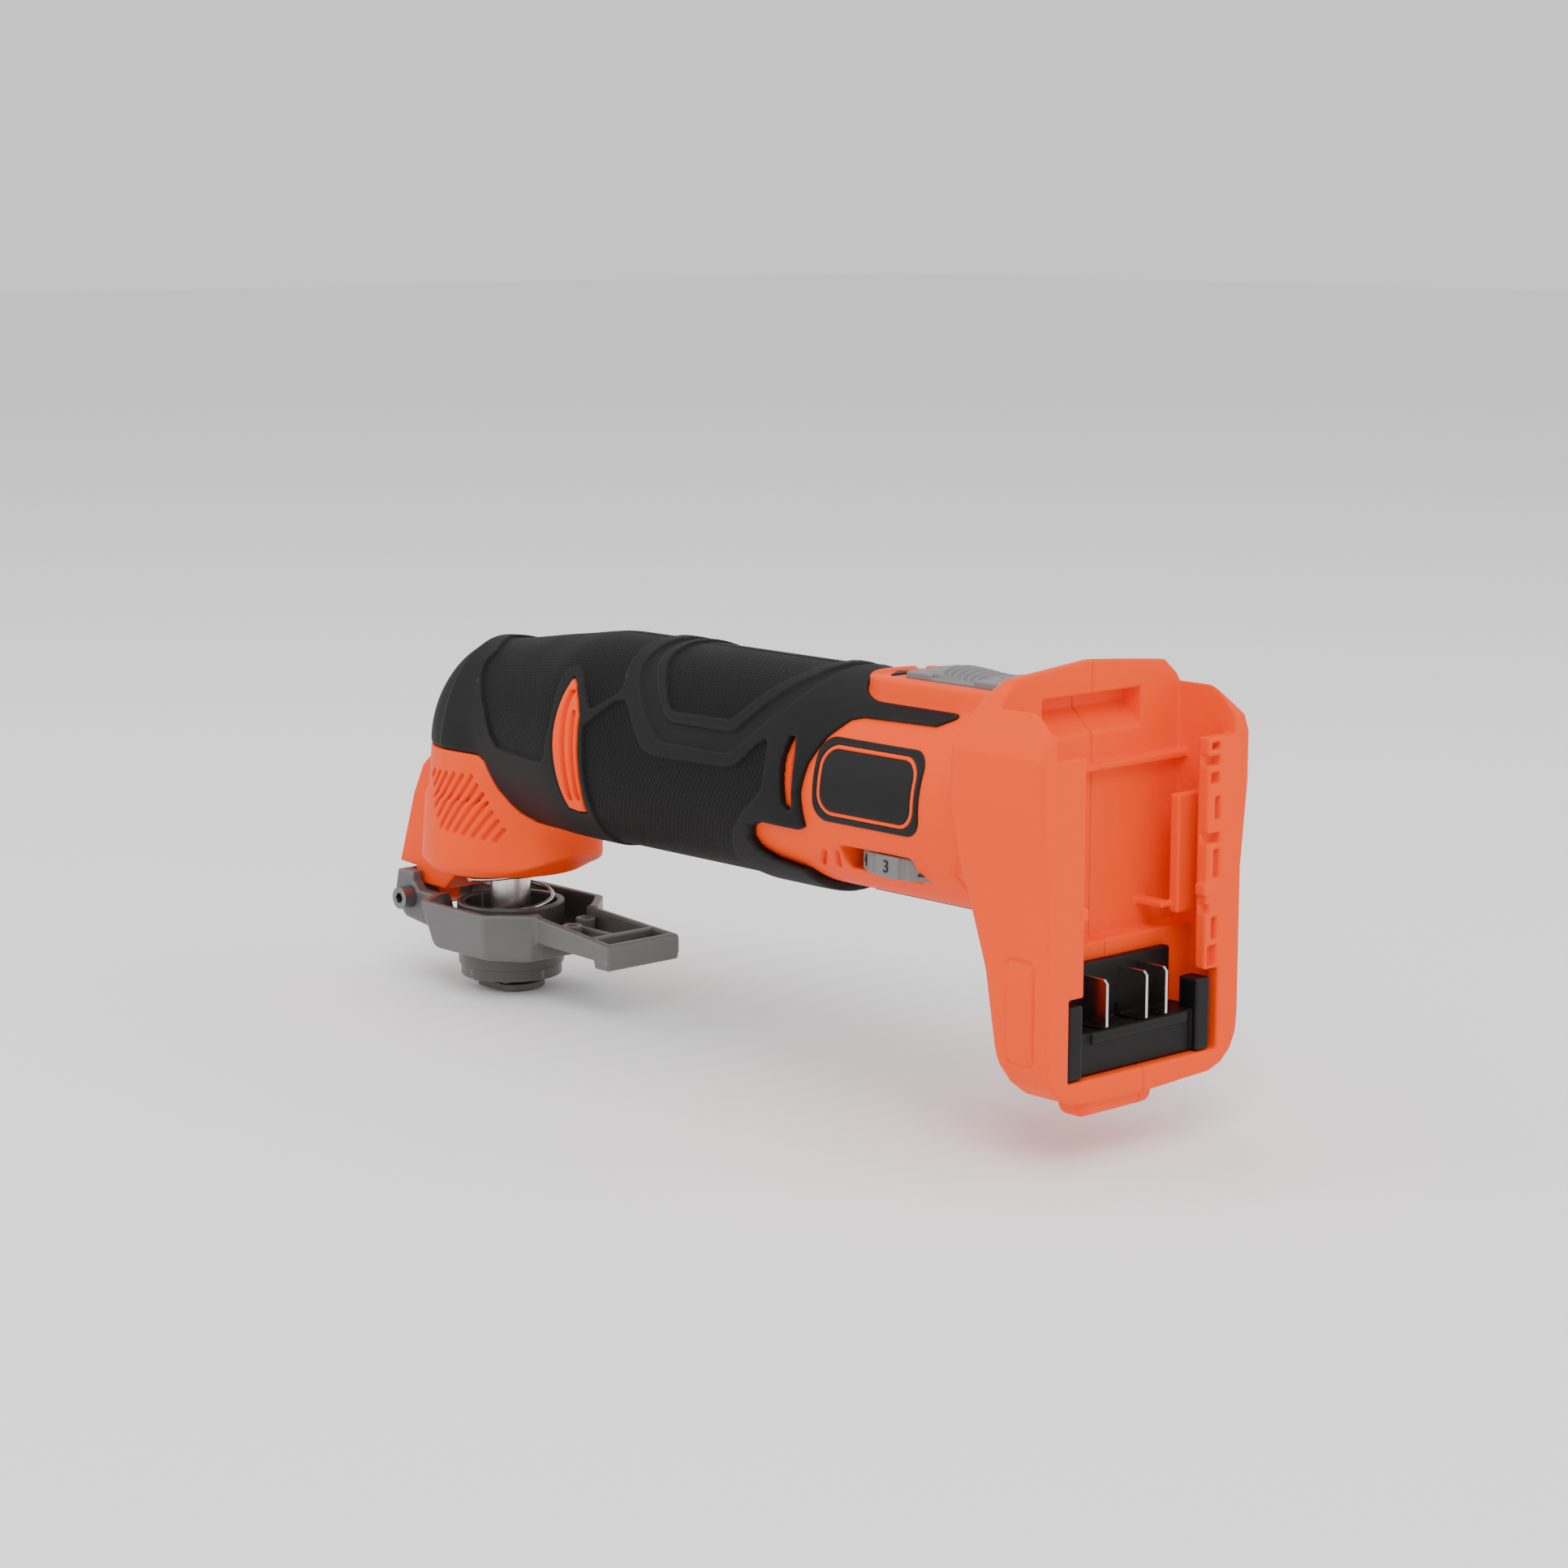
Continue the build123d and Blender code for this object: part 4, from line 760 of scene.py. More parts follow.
def rear_barrel(x, y, z):
    """The rear barrel with its curved groove and two slits."""
    tube = smooth_max(np.hypot(y, z) - SHELL_R, x - 118, 0.5)
    groove = line_form(x, z, FOOT_GROOVE)
    tube = tube + 0.7 * np.exp(-(groove / 0.8) ** 2)
    slits = np.minimum(*[line_form(x, z, line) for line in SLIT_LINES])
    return smooth_max(tube, -np.maximum(slits - 0.7, -(tube + 2)), 0.4)


def foot_with_rooms(d, x, y, z):
    """The battery foot joined to the barrel d, with its rooms, ribs, rail openings and blank plaque."""
    bump = box_form(x, y, z, (1.5, -6, -70.4), (11, 21, -60), 3.0)
    outside = foot_outside(x, y, z)
    d = smooth_min(d, smooth_min(outside, bump, 0.8), 4.0)
    d = smooth_max(d, -joined_boxes(x, y, z, FOOT_ROOMS), 0.5)
    d = smooth_max(d, -np.maximum(outline_form(x, z, LATCH_POCKET), np.abs(y) - 18), 0.5)
    ribs = np.minimum(joined_boxes(x, y, z, FOOT_RIBS), box_form(x, np.abs(y), z, *RAIL_NUB))
    d = smooth_min(d, ribs, 0.4)
    d = smooth_max(d, -rail_openings(x, y, z), 0.3)
    plaque = box_form(x, z, np.zeros_like(x), (4.6, -55.6, -9), (13.8, -29.4, 9), 2.0)
    plaque = np.maximum(np.abs(plaque) - 0.35, np.maximum(-(outside + 0.45), 30 - y))
    return smooth_max(d, -plaque, 0.25)


class MULTITOOL_OT_shells(Operator):
    """Orange clamshell: rear barrel, raised switch frame, dial window and the battery foot"""
    bl_idname = "multitool.shells"
    bl_label = "Orange shells"

    def execute(self, context):
        sizes = context.scene.multitool_sizes
        material = finishes(context.scene)["orange_plastic"]
        for label, side in SIDES:
            def form(x, y, z, side=side):
                out = y * side
                tube = rear_barrel(x, y, z)
                pad = smooth_max(pad_plan(x, y), np.maximum(z - FRAME_TOP, 12 - z), 1.0)
                d = foot_with_rooms(smooth_min(np.maximum(tube, 24 - x), pad, 1.6), x, y, z)
                tray = box_form(x, y, z, (41.4, -9.9, TRAY_FLOOR), (89, 9.9, 50), 0.6)
                d = smooth_max(d, -tray, 0.4)
                d = smooth_max(d, -box_form(x, y, z, (46, -3.6, 15), (70, 3.6, 50), 0.3), 0.3)
                mouth = box_form(x, z, out, (57, -19.2, 10), (84, -12.6, 50), 1.4)
                d = smooth_max(d, -mouth, 0.7)
                slot = np.maximum(outline_form(x, z, REAR_SLOT) + 1.4, -(tube + 1.4))
                d = smooth_max(d, -slot, 0.3)
                return smooth_max(d, 0.05 - out, 0.35)

            def seen(x, y, z):
                hidden = outline_form(x, z, BLACK_ZONE) < -4
                under_switch = (np.abs(y) < 18) & (z > 20) & (x < 96)
                return ~hidden | under_switch | (outline_form(x, z, REAR_SLOT) < 2)

            low, high = split_by_side((-0.6, 0, -71), (119.5, 38.6, 41.5), side)
            piece = skin(f"orange_shell_{label}", form, low, high, sizes.skin_step, "root",
                         material, keep=seen)
            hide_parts(f"housing_{label}")
        return {"FINISHED"}


class MULTITOOL_OT_nose(Operator):
    """Orange nose with slanted louvres and the bracket that carries the lever's pivot"""
    bl_idname = "multitool.nose"
    bl_label = "Nose"

    def execute(self, context):
        sizes = context.scene.multitool_sizes
        louvres = []
        for i in range(sizes.louvres):
            down = max(0, i - 5)
            across = min(i, 5)
            top = (261.3 - 3.35 * across - 1.6 * down, -15.3 - 2.55 * down)
            foot = (263.2 - 1.65 * across - 3.0 * down, -17.4 - 2.75 * across - 0.42 * down)
            louvres.append((top, foot))

        def form(x, y, z):
            whole = body_form(x, y, z) + 0.12
            d = smooth_max(whole, 0.15 - outline_form(x, z, BLACK_ZONE), 0.5)
            d = np.maximum(d, 203 - x)
            slots = np.full(x.shape, 9.0)
            for line in louvres:
                slots = np.minimum(slots, line_form(x, z, line) - 0.66)
            slots = np.maximum(slots, -(whole + 1.6))
            d = smooth_max(d, -slots, 0.35)
            cavity = np.maximum(np.maximum(body_form(x, y, z, 2.6), -43.2 - z), 236 - x)
            d = np.maximum(d, -cavity)
            rho = np.hypot(x - SPINDLE_X, y)
            d = smooth_max(d, -np.maximum(rho - 15.0, -40 + z), 0.5)
            fin = smooth_max(outline_form(x, z, FIN), np.abs(y) - 8.4, 1.0)
            fin = np.maximum(fin, 27.0 - rho - np.where(z < -45, 10.0, 2.5))
            d = smooth_min(d, fin, 1.5)
            px, pz = x - PIVOT[0], z - PIVOT[1]
            knuckle = rod_form(px, pz, y, 3.4, -4.0, 4.0)
            neck = box_form(x, y, z, (284.7, -4, -58.5), (290.2, 4, -54), 0.3)
            d = smooth_min(d, np.minimum(knuckle, neck), 0.6)
            return np.maximum(d, 2.0 - np.hypot(px, pz))

        piece = skin("nose", form, (201, -27, -63), (301, 27, -5.5), sizes.fine_step * 0.85, "root",
                     finishes(context.scene)["orange_plastic"])
        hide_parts("nose_cover")
        return {"FINISHED"}


class MULTITOOL_OT_neck_vents(Operator):
    """Orange crescent vents in the neck, each with two long slots"""
    bl_idname = "multitool.neck_vents"
    bl_label = "Neck vents"

    def execute(self, context):
        sizes = context.scene.multitool_sizes
        material = finishes(context.scene)["orange_plastic"]
        long_slot = [(191.2, 15.5), (191.4, 11), (190.7, 4), (190.3, -4), (190.6, -9), (191.3, -13.6)]
        short_slot = [(187.5, 10.5), (186.9, 6), (186.5, 0), (186.5, -6), (187.0, -10), (187.7, -13.4)]
        for label, side in SIDES:
            def form(x, y, z, side=side):
                whole = barrel_form(x, y, z)
                d = smooth_max(whole - 0.25, outline_form(x, z, VENT) + 0.1, 0.7)
                slots = np.minimum(line_form(x, z, long_slot) - 1.15, line_form(x, z, short_slot) - 1.0)
                d = smooth_max(d, -np.maximum(slots, -(whole + 2.6)), 0.4)
                d = np.maximum(d, -(whole + 3.4))
                return np.maximum(d, 8 - y * side)

            near, far = (17, 32) if side > 0 else (-32, -17)
            piece = skin(f"vent_{label}", form, (183, near, -20.5), (197, far, 21), sizes.fine_step, "root",
                         material)
            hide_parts(f"neck_vent_{label}")
        return {"FINISHED"}


class MULTITOOL_OT_badges(Operator):
    """Blank black badge plates, each with a plain orange outline ring"""
    bl_idname = "multitool.badges"
    bl_label = "Blank badges"

    def execute(self, context):
        sizes = context.scene.multitool_sizes
        made = finishes(context.scene)

        def plate_plan(x, z, shrink=0.0):
            qx = np.abs(x - BADGE_MIDDLE[0]) - BADGE_HALF[0] + shrink + BADGE_CORNER
            qz = np.abs(z - BADGE_MIDDLE[1]) - BADGE_HALF[1] + shrink + BADGE_CORNER
            outside = np.hypot(np.maximum(qx, 0), np.maximum(qz, 0))
            return outside + np.minimum(np.maximum(qx, qz), 0) - BADGE_CORNER

        for label, side in SIDES:
            def plate(x, y, z, side=side):
                d = smooth_max(np.hypot(y, z) - SHELL_R - 0.5, plate_plan(x, z), 0.5)
                ring = np.abs(plate_plan(x, z, 2.3)) - 0.62
                d = smooth_max(d, -np.maximum(ring, SHELL_R - np.hypot(y, z)), 0.3)
                return np.maximum(np.maximum(d, SHELL_R - 0.6 - np.hypot(y, z)), 8 - y * side)

            def ring(x, y, z, side=side):
                d = smooth_max(np.hypot(y, z) - SHELL_R - 0.42, np.abs(plate_plan(x, z, 2.3)) - 0.55, 0.3)
                return np.maximum(np.maximum(d, SHELL_R - 0.4 - np.hypot(y, z)), 8 - y * side)

            ends = (22.0, 29.6) if side > 0 else (-29.6, -22.0)
            low, high = (51, ends[0], -7.5), (91.4, ends[1], 16.3)
            piece = skin(f"badge_plate_{label}", plate, low, high, sizes.fine_step, "root",
                         made["black_plastic"])
            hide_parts(f"badge_{label}")
            skin(f"badge_ring_{label}", ring, low, high, sizes.fine_step, "root",
                 made["orange_plastic"])
        return {"FINISHED"}


def tub_walls(x, y, z, inset=0.0):
    """Plan of the lever's tub, which narrows towards its floor."""
    t = np.clip((-56.0 - z) / 14.2, 0.0, 1.0)
    across = np.abs(y)
    front, rear_half, half = 269.3 - 6.3 * t, 11.5 + 3.0 * t, 23.0 - 0.5 * t
    rear_slant = ((x - 238.5) * (rear_half - half) + (across - half) * 11) / np.hypot(half - rear_half, 11)
    front_slant = ((x - front) * (half - 12.8) + (across - half) * 6) / np.hypot(half - 12.8, 6)
    d = smooth_max(across - half, rear_slant, 0.8)
    d = smooth_max(d, front_slant, 0.8)
    return smooth_max(d, np.maximum(227.5 - x, x - front - 6), 0.8) + inset


class MULTITOOL_OT_lever(Operator):
    """Dark grey squeeze lever: tub around the holder, ribbed handle and pivot arms"""
    bl_idname = "multitool.lever"
    bl_label = "Squeeze lever"

    def execute(self, context):
        sizes = context.scene.multitool_sizes
        arms_side = [
            (264, -57), (284, -56.6), (286.3, -54), (286.6, -51.2), (294.2, -51.2), (295.6, -57.4),
            (292.8, -63.8), (290.5, -65.6), (283, -66.6), (262, -69.3),
        ]
        stop_side = [(291.4, -51.2), (294.2, -51.2), (295.6, -57.4), (292.8, -63.8), (291.9, -64.4),
                     (291.9, -56)]

        def form(x, y, z):
            across = np.abs(y)
            tub = smooth_max(tub_walls(x, y, z), -70.0 - z, 2.6)
            tub = smooth_max(tub, z + 56.1, 0.7)
            half = np.interp(x, [191, 233], [13.4, 11.6])
            top, bottom = np.interp(x, [191, 233], [-59.3, -56.1]), np.interp(x, [191, 233], [-64.6, -64.2])
            handle = smooth_max(smooth_max(across - half, np.maximum(z - top, bottom - z), 0.8),
                                np.maximum(192.4 - x, x - 233), 0.8)
            lip = box_form(x, y, z, (192.4, -13.4, -66.7), (199, 13.4, -60), 0.8)
            d = smooth_min(smooth_min(tub, handle, 1.2), lip, 1.0)
            arms = smooth_max(outline_form(x, z, arms_side), np.abs(across - 10.85) - 1.95, 0.7)
            stop = smooth_max(outline_form(x, z, stop_side), across - 12.8, 0.7)
            px, pz = x - PIVOT[0], z - PIVOT[1]
            bosses = rod_form(px, pz, across, 2.9, 4.5, 12.6)
            d = smooth_min(d, np.minimum(arms, stop), 0.8)
            inner = np.maximum(tub_walls(x, y, z, 2.4), -67.9 - z)
            hollow = np.maximum(across - half + 2.4, np.maximum(194.8 - x, x - 236))
            hollow = np.maximum(hollow, -62.6 - z)
            gap = box_form(x, y, z, (262, -8.9, -64.2), (291.8, 8.9, -40), 0.3)
            d = smooth_max(d, -np.minimum(inner, np.minimum(hollow, gap)), 0.7)
            rho = np.hypot(x - SPINDLE_X, y)
            d = smooth_max(d, -np.maximum(rho - 18.2, z + 60), 0.5)
            lug = box_form(x, across, z, (251.5, 15.0, -70.0), (257.5, 19.6, -68.1), 0.4)
            rib = box_form(x, y, z, (201, -11, -64.4), (203, 11, -58.4), 0.4)
            spine = box_form(x, y, z, (203, -0.9, -64.4), (226, 0.9, -59.6), 0.3)
            cups = np.minimum(np.hypot(x - 220.3, y - 3.9), np.hypot(x - 226.2, y + 6.1))
            cup = np.maximum(np.abs(cups - 2.3) - 0.7, np.maximum(z + 58.6, -64.4 - z))
            small = np.minimum.reduce([lug, bosses, rib, spine, cup])
            d = smooth_min(d, small, 0.6)
            return smooth_max(d, 2.05 - np.hypot(px, pz), 0.3)

        piece = skin("lever", form, (190, -24, -71.5), (297, 24, -49.5), sizes.fine_step, "lever",
                     finishes(context.scene)["lever_plastic"])
        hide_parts("squeeze_lever")
        return {"FINISHED"}


class MULTITOOL_OT_holder(Operator):
    """Dark accessory holder: spring cup, stepped lower rings and a crown of short locating pins"""
    bl_idname = "multitool.holder"
    bl_label = "Accessory holder"

    def execute(self, context):
        sizes = context.scene.multitool_sizes

        def form(x, y, z):
            px = x - SPINDLE_X
            rho = np.hypot(px, y)
            cup = smooth_max(smooth_max(rho - 16.2, np.abs(z + 62.0) - 5.5, 0.5), 14.0 - rho, 0.5)
            floor = np.maximum(rho - 16.0, np.abs(z + 66.6) - 1.0)
            neck = np.maximum(rho - 14.2, np.abs(z + 71) - 5)
            ring = smooth_max(rho - 15.9, np.abs(z + 73.4) - 2.0, 0.5)
            face = smooth_max(rho - 15.2, np.abs(z + 77.1) - 1.8, 0.4)
            turn = np.arctan2(y, px)
            beat = (turn + np.pi / 8) % (np.pi / 4) - np.pi / 8
            pins = np.hypot(rho * np.cos(beat) - 12.9, rho * np.sin(beat)) - 1.2
            pins = smooth_max(pins, np.abs(z + 78.6) - 0.9, 0.3)
            d = smooth_min(np.minimum(cup, floor), np.minimum(neck, ring), 0.4)
            d = np.minimum(smooth_min(d, face, 0.3), pins)
            return smooth_max(d, 6.08 - rho, 0.3)

        low, high = (SPINDLE_X - 16.8, -16.8, -80), (SPINDLE_X + 16.8, 16.8, -56)
        piece = skin("holder", form, low, high, sizes.fine_step, "holder",
                     finishes(context.scene)["holder_metal"])
        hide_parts("accessory_holder")
        return {"FINISHED"}


class MULTITOOL_OT_slider(Operator):
    """Grey switch slider with a ribbed thumb ramp, side steps and plain on and off strokes"""
    bl_idname = "multitool.slider"
    bl_label = "Switch slider"

    def execute(self, context):
        sizes = context.scene.multitool_sizes
        made = finishes(context.scene)

        def form(x, y, z):
            across = np.abs(y)
            crown = np.interp(x, [42, 46, 54, 60, 66, 72, 76], [32.2, 32.6, 32.4, 33.0, 33.4, 32.9, 32.2])
            crown = crown - 0.018 * y * y
            bowed = x + 0.03 * y * y
            ribs = 0.45 * np.clip(1.3 * np.cos((bowed - 54.6) * 2 * np.pi / 2.3), -1, 1)
            crown = crown + np.where((bowed > 52.4) & (bowed < 66.0) & (across < 7.2), ribs, 0.0)
            thumb = smooth_max(z - crown, across - 7.6, 0.9)
            thumb = smooth_max(thumb, np.abs(x - 59) - 16.6, 0.9)
            base = box_form(x, y, z, (42.0, -9.2, 29.9), (76.0, 9.2, 31.1), 0.4)
            steps = box_form(x, across, z, (42.3, 4, 30), (51.5, 9.2, 32.2), 0.5)
            steps = np.minimum(steps, box_form(x, across, z, (66.5, 4, 30), (75.7, 9.2, 32.2), 0.5))
            d = smooth_min(np.minimum(np.maximum(thumb, 30 - z), steps), base, 0.5)
            stroke = np.maximum(np.abs(x - 70.2) - 0.5, across - 2.6)
            loop = np.abs(np.hypot(x - 47.6, y) - 2.1) - 0.45
            marks = np.maximum(np.minimum(stroke, loop), crown - 0.35 - z)
            d = smooth_max(d, -marks, 0.25)
            return np.minimum(d, box_form(x, y, z, (55, -3, 19.2), (61, 3, 30.2), 0.3))

        piece = skin("slider", form, (41.5, -9.7, 18.8), (76.6, 9.7, 34.4), sizes.fine_step * 0.8, "slider",
                     made["grey_plastic"])
        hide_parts("switch_slider")

        # A thin black triangle on the tray floor in front of the slider.
        def wedge(x, y, z):
            plan = outline_form(x, y, [(83.8, 7.0), (83.8, -7.0), (88.2, 0)])
            return smooth_max(plan, np.abs(z - 29.9) - 0.3, 0.25)

        skin("black_triangle", wedge, (83.0, -8, 29.2), (89.0, 8, 30.6), sizes.fine_step * 0.7, "root",
             made["black_plastic"])
        return {"FINISHED"}


class MULTITOOL_OT_dial(Operator):
    """Grey speed dial with finger notches and the numbers one to six round its rim"""
    bl_idname = "multitool.dial"
    bl_label = "Speed dial"

    def execute(self, context):
        sizes = context.scene.multitool_sizes
        made = finishes(context.scene)
        low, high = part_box("speed_dial")
        middle = (low + high) / 2
        cx, cy, cz = middle.x * 1000 + SPINDLE_X, middle.y * 1000, middle.z * 1000 + FACE_Z
        radius = (high.x - low.x) * 520

        def form(x, y, z):
            px, py = x - cx, y - cy
            rho = np.hypot(px, py)
            turn = np.arctan2(py, px)
            facet = (turn + np.pi / 12) % (np.pi / 6) - np.pi / 12
            rim = rho * np.cos(facet) - radius * 0.985
            d = smooth_max(rim, rho - radius, 0.8)
            notch = np.hypot(rho * np.cos(facet - np.sign(facet) * np.pi / 12) - radius * 1.01,
                             rho * np.sin(facet - np.sign(facet) * np.pi / 12)) - 1.15
            d = smooth_max(d, -notch, 0.6)
            d = smooth_max(d, np.abs(z - cz) - 2.95, 0.7)
            return np.maximum(d, 2.05 - rho)

        piece = skin("dial", form, (cx - radius - 0.6, cy - radius - 0.6, cz - 3.4),
                     (cx + radius + 0.6, cy + radius + 0.6, cz + 3.4), sizes.fine_step, "dial",
                     made["dial_plastic"])
        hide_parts("speed_dial")
        for number in range(1, 7):
            turn = math.radians(90 + 30 * (3 - number))
            text = bpy.data.curves.new(f"numeral_{number}", "FONT")
            text.body = str(number)
            text.size = 0.0046
            text.extrude = 0.00012
            text.align_x, text.align_y = "CENTER", "CENTER"
            outline = bpy.data.objects.new("numeral_curve", text)
            bpy.context.scene.collection.objects.link(outline)
            bpy.context.view_layer.update()
            mesh = bpy.data.meshes.new_from_object(outline)
            bpy.data.objects.remove(outline)
            out = Vector((math.cos(turn), math.sin(turn), 0))
            up = Vector((0, 0, 1))
            facing = Matrix((up.cross(out), up, out)).transposed().to_4x4()
            middle_of_dial = Vector(((cx - SPINDLE_X) / 1000, cy / 1000, (cz - FACE_Z) / 1000))
            place = middle_of_dial + out * (radius * 0.985 / 1000 + 0.00005)
            mesh.transform(Matrix.Translation(place) @ facing)
            numeral = bpy.data.objects.new(f"dial_numeral_{number}", mesh)
            bpy.context.scene.collection.objects.link(numeral)
            numeral.data.materials.clear()
            numeral.data.materials.append(made["black_plastic"])
            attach(numeral, "dial")
        return {"FINISHED"}


class MULTITOOL_OT_spring(Operator):
    """Coil spring between nose and holder, with closed end turns"""
    bl_idname = "multitool.spring"
    bl_label = "Lever spring"

    def execute(self, context):
        sizes = context.scene.multitool_sizes
        low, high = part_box("lever_spring")
        wire = sizes.spring_wire / 2
        radius = sizes.spring_width / 2 - wire
        turns, around, section = 2.6, 96, 14
        count = int(turns * around)
        share = np.linspace(0.0, 1.0, count + 1)
        climb = share * turns
        active = np.clip((climb - 0.5) / (turns - 1.0), 0.0, 1.0)
        closed = np.clip(climb / 0.5, 0, 1) + np.clip((climb - turns + 0.5) / 0.5, 0, 1)
        room = high.z - low.z - 2 * wire
        rise = low.z + wire + (room - 2 * wire * 1.02) * active + wire * 1.02 * closed
        turn = 2 * np.pi * climb + np.pi * 0.6
        centre = np.stack([radius * np.cos(turn), radius * np.sin(turn), rise], axis=1)
        ahead = np.gradient(centre, axis=0)
        ahead /= np.linalg.norm(ahead, axis=1)[:, None]
        out = np.stack([np.cos(turn), np.sin(turn), np.zeros_like(turn)], axis=1)
        up = np.cross(ahead, out)
        angle = np.linspace(0, 2 * np.pi, section, endpoint=False)
        rings = (centre[:, None] + wire * (np.cos(angle)[None, :, None] * out[:, None]
                                           + np.sin(angle)[None, :, None] * up[:, None]))
        points = rings.reshape(-1, 3)
        faces = []
        for i in range(count):
            for j in range(section):
                k = (j + 1) % section
                faces.append((i * section + j, i * section + k, (i + 1) * section + k, (i + 1) * section + j))
        faces.append(tuple(range(section - 1, -1, -1)))
        faces.append(tuple(count * section + j for j in range(section)))
        piece = make_piece("coil_spring", points * 1000 + (SPINDLE_X, 0, FACE_Z), faces, "root",
                           finishes(context.scene)["polished_steel"])
        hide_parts("lever_spring")
        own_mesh(piece)
        return {"FINISHED"}


class MULTITOOL_OT_terminals(Operator):
    """Black terminal block: base bar with blade slots, two side posts and a back plate"""
    bl_idname = "multitool.terminals"
    bl_label = "Terminal block"

    def execute(self, context):
        sizes = context.scene.multitool_sizes
        rear, _, foot = np.array(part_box("terminal_block")[0]) * 1000 + (SPINDLE_X, 0, FACE_Z)
        bars = [((2.2, -24.6, foot), (13.2, 26.6, -49), 0.5), ((1.0, -17.4, -51.8), (6, 17.8, -48.8), 0.8),
                ((rear, 22, foot), (6.6, 27, -41), 0.6), ((rear, -25, foot), (6.6, -20, -41), 0.6)]

        def form(x, y, z):
            back = box_form(x, y, z, (10.6, -21, foot), (13.2, 22, -34), 0.5)
            d = smooth_min(joined_boxes(x, y, z, bars), back, 0.5)
            for blade in (13.0, -1.5, -8.8):
                slit = box_form(x, y, z, (3.0, blade - 0.9, -54), (11, blade + 0.9, -46), 0.1)
                d = smooth_max(d, -slit, 0.2)
            return d

        piece = skin("terminal_base", form, (rear - 0.5, -28, foot - 0.5), (13.8, 28, -33), sizes.fine_step,
                     "root", finishes(context.scene)["black_plastic"])
        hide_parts("terminal_block")
        return {"FINISHED"}


class MULTITOOL_OT_inner_parts(Operator):
    """Finishes for the mechanism, motor, electrical parts and fasteners that keep their CAD shape"""
    bl_idname = "multitool.inner_parts"
    bl_label = "Mechanism and motor"

    def execute(self, context):
        made = finishes(context.scene)
        for node, piece in frame["nodes"].items():
            if piece.hide_render:
                continue
            slot = slot_of(node)
            material = made["spindle" if node == "spindle" else slot]
            piece.data.materials.clear()
            piece.data.materials.append(material)
        return {"FINISHED"}


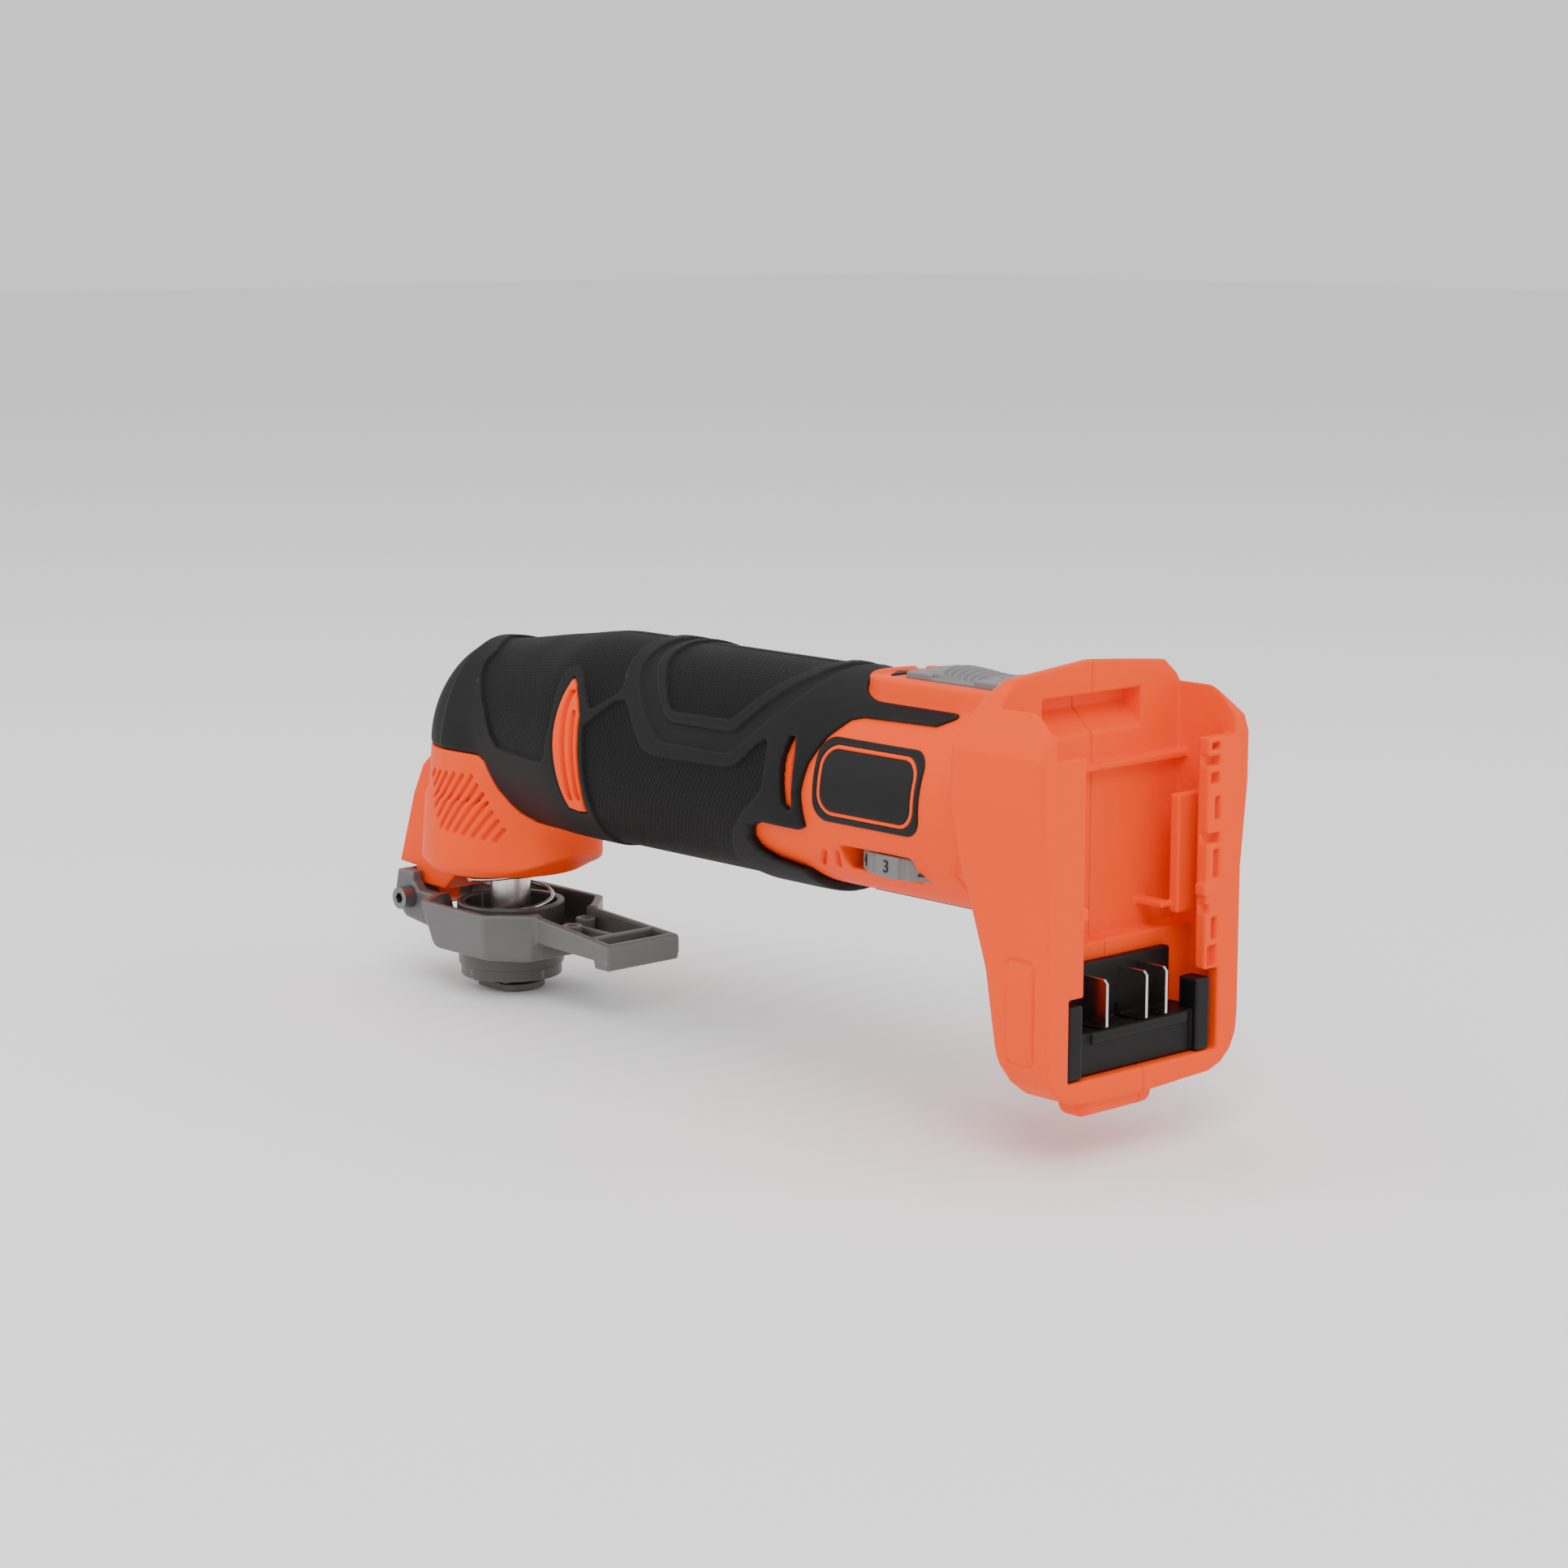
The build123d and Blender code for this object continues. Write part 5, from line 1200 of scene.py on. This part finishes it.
class MULTITOOL_OT_stage(Operator):
    """Pale floor, soft studio lights and the camera"""
    bl_idname = "multitool.stage"
    bl_label = "Stage"

    def execute(self, context):
        scene = context.scene
        low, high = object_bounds()
        floor_z = low.z - 0.0004
        mesh = bpy.data.meshes.new("studio_floor")
        half = 6.0
        mesh.from_pydata([(-half, -half, floor_z), (half, -half, floor_z), (half, half, floor_z),
                          (-half, half, floor_z)], [], [(0, 1, 2, 3)])
        floor = bpy.data.objects.new("studio_floor", mesh)
        scene.collection.objects.link(floor)
        paint = bpy.data.materials.new("Pale floor")
        paint.use_nodes = True
        shader = paint.node_tree.nodes["Principled BSDF"]
        shader.inputs["Base Color"].default_value = (0.92, 0.92, 0.92, 1)
        shader.inputs["Roughness"].default_value = 0.9
        shader.inputs["Specular IOR Level"].default_value = 0.1
        floor.data.materials.append(paint)
        floor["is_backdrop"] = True

        world = scene.world or bpy.data.worlds.new("Studio")
        scene.world = world
        world.use_nodes = True
        back = world.node_tree.nodes["Background"]
        back.inputs["Color"].default_value = (1.0, 1.0, 1.0, 1)
        back.inputs["Strength"].default_value = 0.95
        middle = (low + high) / 2
        lamps = [("key", (-0.95, 0.75, 1.25), 0.9, 15.0), ("fill", (-1.1, -0.9, 0.55), 1.1, 4.0),
                 ("front", (0.9, 1.0, 0.6), 0.9, 5.0), ("top", (0.1, 0.0, 1.5), 1.2, 8.0)]
        for name, offset, size, power in lamps:
            lamp = bpy.data.lights.new(name, "AREA")
            lamp.size = size
            lamp.energy = power
            stand = bpy.data.objects.new(name, lamp)
            scene.collection.objects.link(stand)
            stand.location = middle + Vector(offset)
            stand.rotation_euler = (-Vector(offset)).to_track_quat("-Z", "Y").to_euler()

        lens = bpy.data.cameras.new("camera")
        lens.sensor_width = 36.0
        lens.lens = EYE_LENS
        lens.clip_start = 0.01
        eye = bpy.data.objects.new("camera", lens)
        scene.collection.objects.link(eye)
        eye.location = placed(EYE)
        look = Vector((math.cos(EYE_TURN) * math.cos(EYE_DROP), -math.sin(EYE_TURN) * math.cos(EYE_DROP),
                       -math.sin(EYE_DROP)))
        eye.rotation_euler = look.to_track_quat("-Z", "Y").to_euler()
        scene.camera = eye
        return {"FINISHED"}


class MULTITOOL_PT_panel(Panel):
    """Builds the multi-tool's pieces and stage"""
    bl_label = "Multi-tool"
    bl_idname = "MULTITOOL_PT_panel"
    bl_space_type = "VIEW_3D"
    bl_region_type = "UI"
    bl_category = "Multi-tool"

    def draw(self, context):
        layout = self.layout
        for group in (context.scene.multitool_sizes, context.scene.multitool_colours):
            box = layout.box()
            for name in group.__annotations__:
                box.prop(group, name)
        for operator in BUILDERS:
            layout.operator(operator.bl_idname)


BUILDERS = (
    MULTITOOL_OT_grips, MULTITOOL_OT_shells, MULTITOOL_OT_nose, MULTITOOL_OT_neck_vents,
    MULTITOOL_OT_badges, MULTITOOL_OT_lever, MULTITOOL_OT_holder, MULTITOOL_OT_slider, MULTITOOL_OT_dial,
    MULTITOOL_OT_spring, MULTITOOL_OT_terminals, MULTITOOL_OT_inner_parts, MULTITOOL_OT_stage,
)
CLASSES = (ToolSizes, ToolColours, MULTITOOL_PT_panel) + BUILDERS


def register():
    for cls in CLASSES:
        bpy.utils.register_class(cls)
    bpy.types.Scene.multitool_sizes = PointerProperty(type=ToolSizes)
    bpy.types.Scene.multitool_colours = PointerProperty(type=ToolColours)


def unregister():
    del bpy.types.Scene.multitool_colours
    del bpy.types.Scene.multitool_sizes
    for cls in reversed(CLASSES):
        bpy.utils.unregister_class(cls)


def main():
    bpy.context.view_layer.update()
    register()
    for operator in BUILDERS:
        getattr(bpy.ops.multitool, operator.bl_idname.split(".")[1])()


if __name__ == "__main__":
    main()
